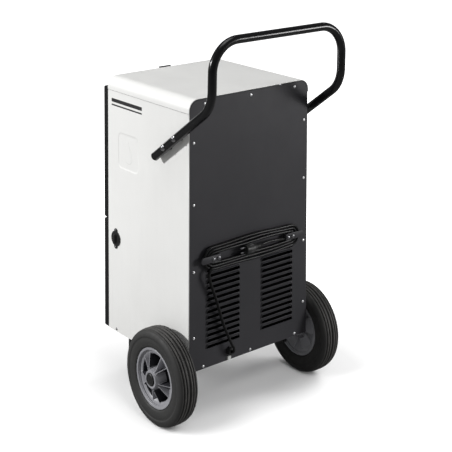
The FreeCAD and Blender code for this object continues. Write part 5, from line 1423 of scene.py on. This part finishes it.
def wrapped_cable():
    """Three turns of cable round the hooks, the strand to the gland, and the plug's short lead."""
    shape = Shape()
    for number in range(TURNS):
        rise = TURN_FIRST + number * TURN_PITCH
        points = (cable_run(rise, number, True) + cable_end(rise, -1)
                  + cable_run(rise, number, False)[::-1] + cable_end(rise, 1))
        path = smooth_path(points + points[:1], 4)[:-1]
        shape.join(tube(path, CABLE, 16, ring=True))
    tail = [(142, CABLE_Y + 8.8, 437), (156, CABLE_Y + 8.8, 437.4), (166, CABLE_Y + 8.8, 430),
            (167, CABLE_Y + 8.4, 414), (156, CABLE_Y + 6.5, 384), (138, REAR + 14, 340),
            (112, REAR + 15, 262), (90, REAR + 21, 208), (82, REAR + 24, 190),
            (80, REAR + 21.5, 177), (80, REAR + 14, 174)]
    shape.join(tube(smooth_path(tail, 8), CABLE, 16))
    lead = [(-21, PLUG[1], PLUG[2]), (-36, PLUG[1], PLUG[2] + 2.5), (-60, REAR + 17, HOOK_Z + 4),
            (-88, REAR + 15, HOOK_Z + 1), (-108, REAR + 12, HOOK_Z - 2),
            (-121, REAR + 10, HOOK_Z - 4)]
    shape.join(tube(smooth_path(lead, 8), CABLE, 16, rounded=1.0))
    piece("mains_lead", shape, "cable_jacket", stands_for=["power_cable"],
          smooth=60)


PLUG = (0.0, REAR + 20.0, 466.4)
PLUG_FACE = 37.0
PLUG_GRIPS = 12


def plug():
    """A moulded round plug with a ribbed neck and two pins."""
    profile = [(0, 0.0), (0, 12.4), (-1, 13.6), (-2.5, 14.0), (-4.5, 13.9), (-5.4, 12.9),
               (-6.6, 12.7), (-10, 13.2), (-22, 13.0), (-30, 12.2), (-36, 10.6), (-40, 8.6)]
    for k in range(5):
        along = -40.0 - 3.4 * k
        girth = 8.4 - 0.75 * k
        profile += [(along - 0.4, girth), (along - 1.8, girth - 0.2), (along - 2.2, girth - 1.5),
                    (along - 3.0, girth - 1.5)]
    profile += [(-58.0, 4.6), (-58.0, 0.0)]
    body = lathe(shifted(PLUG_FACE, *profile), PLUG, segments=72)
    for k in range(PLUG_GRIPS):
        angle = 2 * math.pi * k / PLUG_GRIPS
        y, z = PLUG[1] + 12.7 * math.cos(angle), PLUG[2] + 12.7 * math.sin(angle)
        body.join(tube([(PLUG_FACE - 26, y, z), (PLUG_FACE - 12, y, z)], 1.1, 8, rounded=1.0))
    piece("plug_body", body, "black_rubber", stands_for=["mains_plug"])
    pins = Shape()
    for shift in (-6.5, 6.5):
        pins.join(tube([(PLUG_FACE - 1, PLUG[1], PLUG[2] + shift),
                        (PLUG_FACE + 16, PLUG[1], PLUG[2] + shift)], 2.4, 20, rounded=1.0))
    piece("plug_pins", pins, "dark_steel")


def gland():
    """The cable gland: hexagon, domed nut with flutes, and the seal."""
    x, z = GLAND
    hexagon = shifted(REAR, (-10, 0.0), (-10, 8.0), (0, 8.0), (0, 12.0), (0.6, 13.0), (4.4, 13.0),
                      (5.0, 12.2), (5.0, 0.0))
    shape = lathe(hexagon, (x, 0, z), "Y", 6)
    nut = [(5.0, 11.0, False), (5.2, 11.8, True), (11.0, 11.4, True), (13.4, 9.8, True),
           (14.6, 8.0, False), (15.0, 6.4, False), (13.0, 5.0, False)]
    shape.join(loft(turned(nut, (x, REAR, z), "Y", 96, flutes=16, depth=0.35)))
    piece("gland_nut", shape, "black_plastic", stands_for=["cable_gland"], edge=0.3)

    def clip_outline(inset):
        return rounded_rectangle(75 + inset, 147 + inset, 88 - inset, 158 - inset,
                                 2.0 - inset * 0.5, 4)

    clip = pillow(clip_outline, [(0.0, REAR + 0.02), (0.0, REAR + 3.6), (0.7, REAR + 4.7),
                                 (1.8, REAR + 5.0)], "Y")
    piece("small_clip", clip, "white_plastic")


# ---------------------------------------------------------------- carried-over CAD nodes


SOFTENED = {"axle_brackets": 0.8, "tank_body": 1.0, "tank_lid": 0.6, "drip_tray": 0.6,
            "base_pan": 0.3, "axle": 0.5, "controller_board": 0.5, "float_switch": 1.0}


def dress_cad_nodes():
    """Give every CAD node that still shows a node material, and soften the edges of those listed in
    SOFTENED.
    """
    slots = {item["node"]: item["material_slot"] for item in frame["record"]["subparts"]}
    for name, obj in frame["nodes"].items():
        if obj.hide_render:
            continue
        obj.data.materials.clear()
        obj.data.materials.append(MATERIALS[slots[name]])
        if name in SOFTENED:
            soften(obj, SOFTENED[name], 50)


# ---------------------------------------------------------------- stage

CAMERA_PLACE = (2.2344, 2.7703, 1.7229)
CAMERA_AZIMUTH = math.radians(140.79)
CAMERA_PITCH = math.radians(3.76)
CAMERA_ROLL = math.radians(0.157)
CAMERA_LENS = 96.0
CAMERA_RISE = -0.7324
PLACE_WEIGHT = 16
FLOOR_LIFT = 0.02
SURROUND = 0.30
SURROUND_SHEEN = 0.14


def camera():
    """A level view with its frame shifted down, as in a studio shot that keeps uprights upright.

    The shift holds only at CAMERA_PLACE: seen from any other place, the frame isn't shifted.
    """
    data = bpy.data.cameras.new("camera")
    data.lens = CAMERA_LENS
    data.sensor_width = 36.0
    data.clip_end = 50.0
    obj = bpy.data.objects.new("camera", data)
    bpy.context.scene.collection.objects.link(obj)
    back = Vector((math.sin(CAMERA_AZIMUTH) * math.cos(CAMERA_PITCH),
                   -math.cos(CAMERA_AZIMUTH) * math.cos(CAMERA_PITCH), math.sin(CAMERA_PITCH)))
    right = Vector((math.cos(CAMERA_AZIMUTH), math.sin(CAMERA_AZIMUTH), 0.0))
    up = back.cross(right)
    turn = Matrix.Rotation(CAMERA_ROLL, 3, back)
    right, up = turn @ right, turn @ up
    rotation = Matrix((right, up, back)).transposed()
    obj.matrix_world = Matrix.Translation(CAMERA_PLACE) @ rotation.to_4x4()
    curve = data.driver_add("shift_y")
    curve.driver.type = "SUM"
    for _ in range(PLACE_WEIGHT):
        variable = curve.driver.variables.new()
        variable.type = "TRANSFORMS"
        variable.targets[0].id = obj
        variable.targets[0].transform_type = "LOC_X"
        variable.targets[0].transform_space = "WORLD_SPACE"
    for modifier in list(curve.modifiers):
        curve.modifiers.remove(modifier)
    while curve.keyframe_points:
        curve.keyframe_points.remove(curve.keyframe_points[0])
    middle = CAMERA_PLACE[0] * PLACE_WEIGHT
    for offset, value in ((-0.04, 0.0), (-0.02, CAMERA_RISE), (0.02, CAMERA_RISE), (0.04, 0.0)):
        point = curve.keyframe_points.insert(middle + offset, value)
        point.interpolation = "LINEAR"
    curve.extrapolation = "CONSTANT"
    bpy.context.scene.camera = obj


def floor():
    """A plain pale floor."""
    size = 40.0
    mesh = bpy.data.meshes.new("floor")
    mesh.from_pydata([(-size, -size, 0), (size, -size, 0), (size, size, 0), (-size, size, 0)], [],
                     [(0, 1, 2, 3)])
    obj = bpy.data.objects.new("floor", mesh)
    bpy.context.scene.collection.objects.link(obj)
    mesh.materials.append(floor_paint())
    return obj


def floor_paint():
    """Matt pale paint, lifted to the surround's white away from the machine."""
    nodes = Nodes("floor_paint")
    tint = nodes.mix(nodes.noise(1.5), grey(0.90), grey(0.88))
    path = nodes.make("ShaderNodeLightPath")
    shade = nodes.mix(path.outputs["Is Camera Ray"], grey(0.22), tint)
    away = nodes.vector("LENGTH", nodes.place, (0.0, 0.0, 0.0))
    lift = nodes.remap(away, FLOOR_LIFT, 1.0, 0.45, 1.1)
    lift = nodes.math("MULTIPLY", path.outputs["Is Camera Ray"], lift)
    return nodes.surface({"Base Color": shade, "Roughness": 0.8, "Specular IOR Level": 0.05,
                          "Emission Color": grey(1.0), "Emission Strength": lift})


def area_light(name, place, target, size, power):
    """A soft rectangular light at a place, turned towards its target."""
    data = bpy.data.lights.new(name, "AREA")
    data.shape = "RECTANGLE"
    data.size, data.size_y = size
    data.energy = power
    obj = bpy.data.objects.new(name, data)
    bpy.context.scene.collection.objects.link(obj)
    obj.location = place
    way = Vector(place) - Vector(target)
    obj.rotation_euler = way.to_track_quat("Z", "Y").to_euler()
    return obj


def light_only(light, target, wanted):
    """Let a light reach only the target, or everything but the target."""
    receivers = bpy.data.collections.new(f"{light.name}_receivers")
    receivers.objects.link(target)
    light.light_linking.receiver_collection = receivers
    receivers.collection_objects[0].light_linking.link_state = "INCLUDE" if wanted else "EXCLUDE"


def surround():
    """White to the eye, dim as a source of light, and dimmer still in reflections."""
    world = bpy.data.worlds.new("studio")
    bpy.context.scene.world = world
    world.use_nodes = True
    tree = world.node_tree
    background = tree.nodes["Background"]
    background.inputs["Color"].default_value = (1.0, 1.0, 1.0, 1.0)
    path = tree.nodes.new("ShaderNodeLightPath")
    strength = background.inputs["Strength"]
    for ray, level in (("Is Glossy Ray", SURROUND_SHEEN), ("Is Camera Ray", 1.0)):
        node = tree.nodes.new("ShaderNodeMix")
        node.data_type = "FLOAT"
        tree.links.new(path.outputs[ray], node.inputs[0])
        node.inputs[2].default_value = SURROUND
        node.inputs[3].default_value = level
        if strength.is_output:
            tree.links.new(strength, node.inputs[2])
        strength = node.outputs[0]
    tree.links.new(strength, background.inputs["Strength"])


def lights(ground):
    """A side light, a key from the rear right, and soft lights on the roof and on the floor."""
    side = area_light("side", (3.9, -2.3, 2.3), (0.2, 0.1, 0.75), (0.32, 0.32), 198.0)
    key = area_light("key", (-3.2, 3.3, 1.3), (0.0, 0.15, 0.55), (1.4, 1.2), 130.0)
    roof_light = area_light("roof_light", (0.3, 0.2, 4.6), (0.0, 0.0, 0.9), (2.4, 2.4), 68.0)
    for light in (side, key, roof_light):
        light_only(light, ground, False)
    for name, place, power in (("floor_rear", (0.4, 3.2, 2.6), 82.0),
                               ("floor_left", (3.2, -0.4, 2.6), 165.0),
                               ("floor_right", (-3.2, 0.3, 2.6), 112.0)):
        light_only(area_light(name, place, (0.0, 0.0, 0.0), (2.4, 2.4), power), ground, True)
    bpy.context.scene.view_settings.view_transform = "Standard"


roof()
for side_name in SIDES:
    side_panel(side_name)
    tyre(side_name)
    rim(side_name)
print_stripes()
rear_panel()
screws()
handle_bolts()
push_bar()
axle_ends()
upper_front()
tank_front()
filter_parts()
control_panel()
foot()
drain()
hooks()
wrapped_cable()
plug()
gland()
dress_cad_nodes()
camera()
surround()
lights(floor())
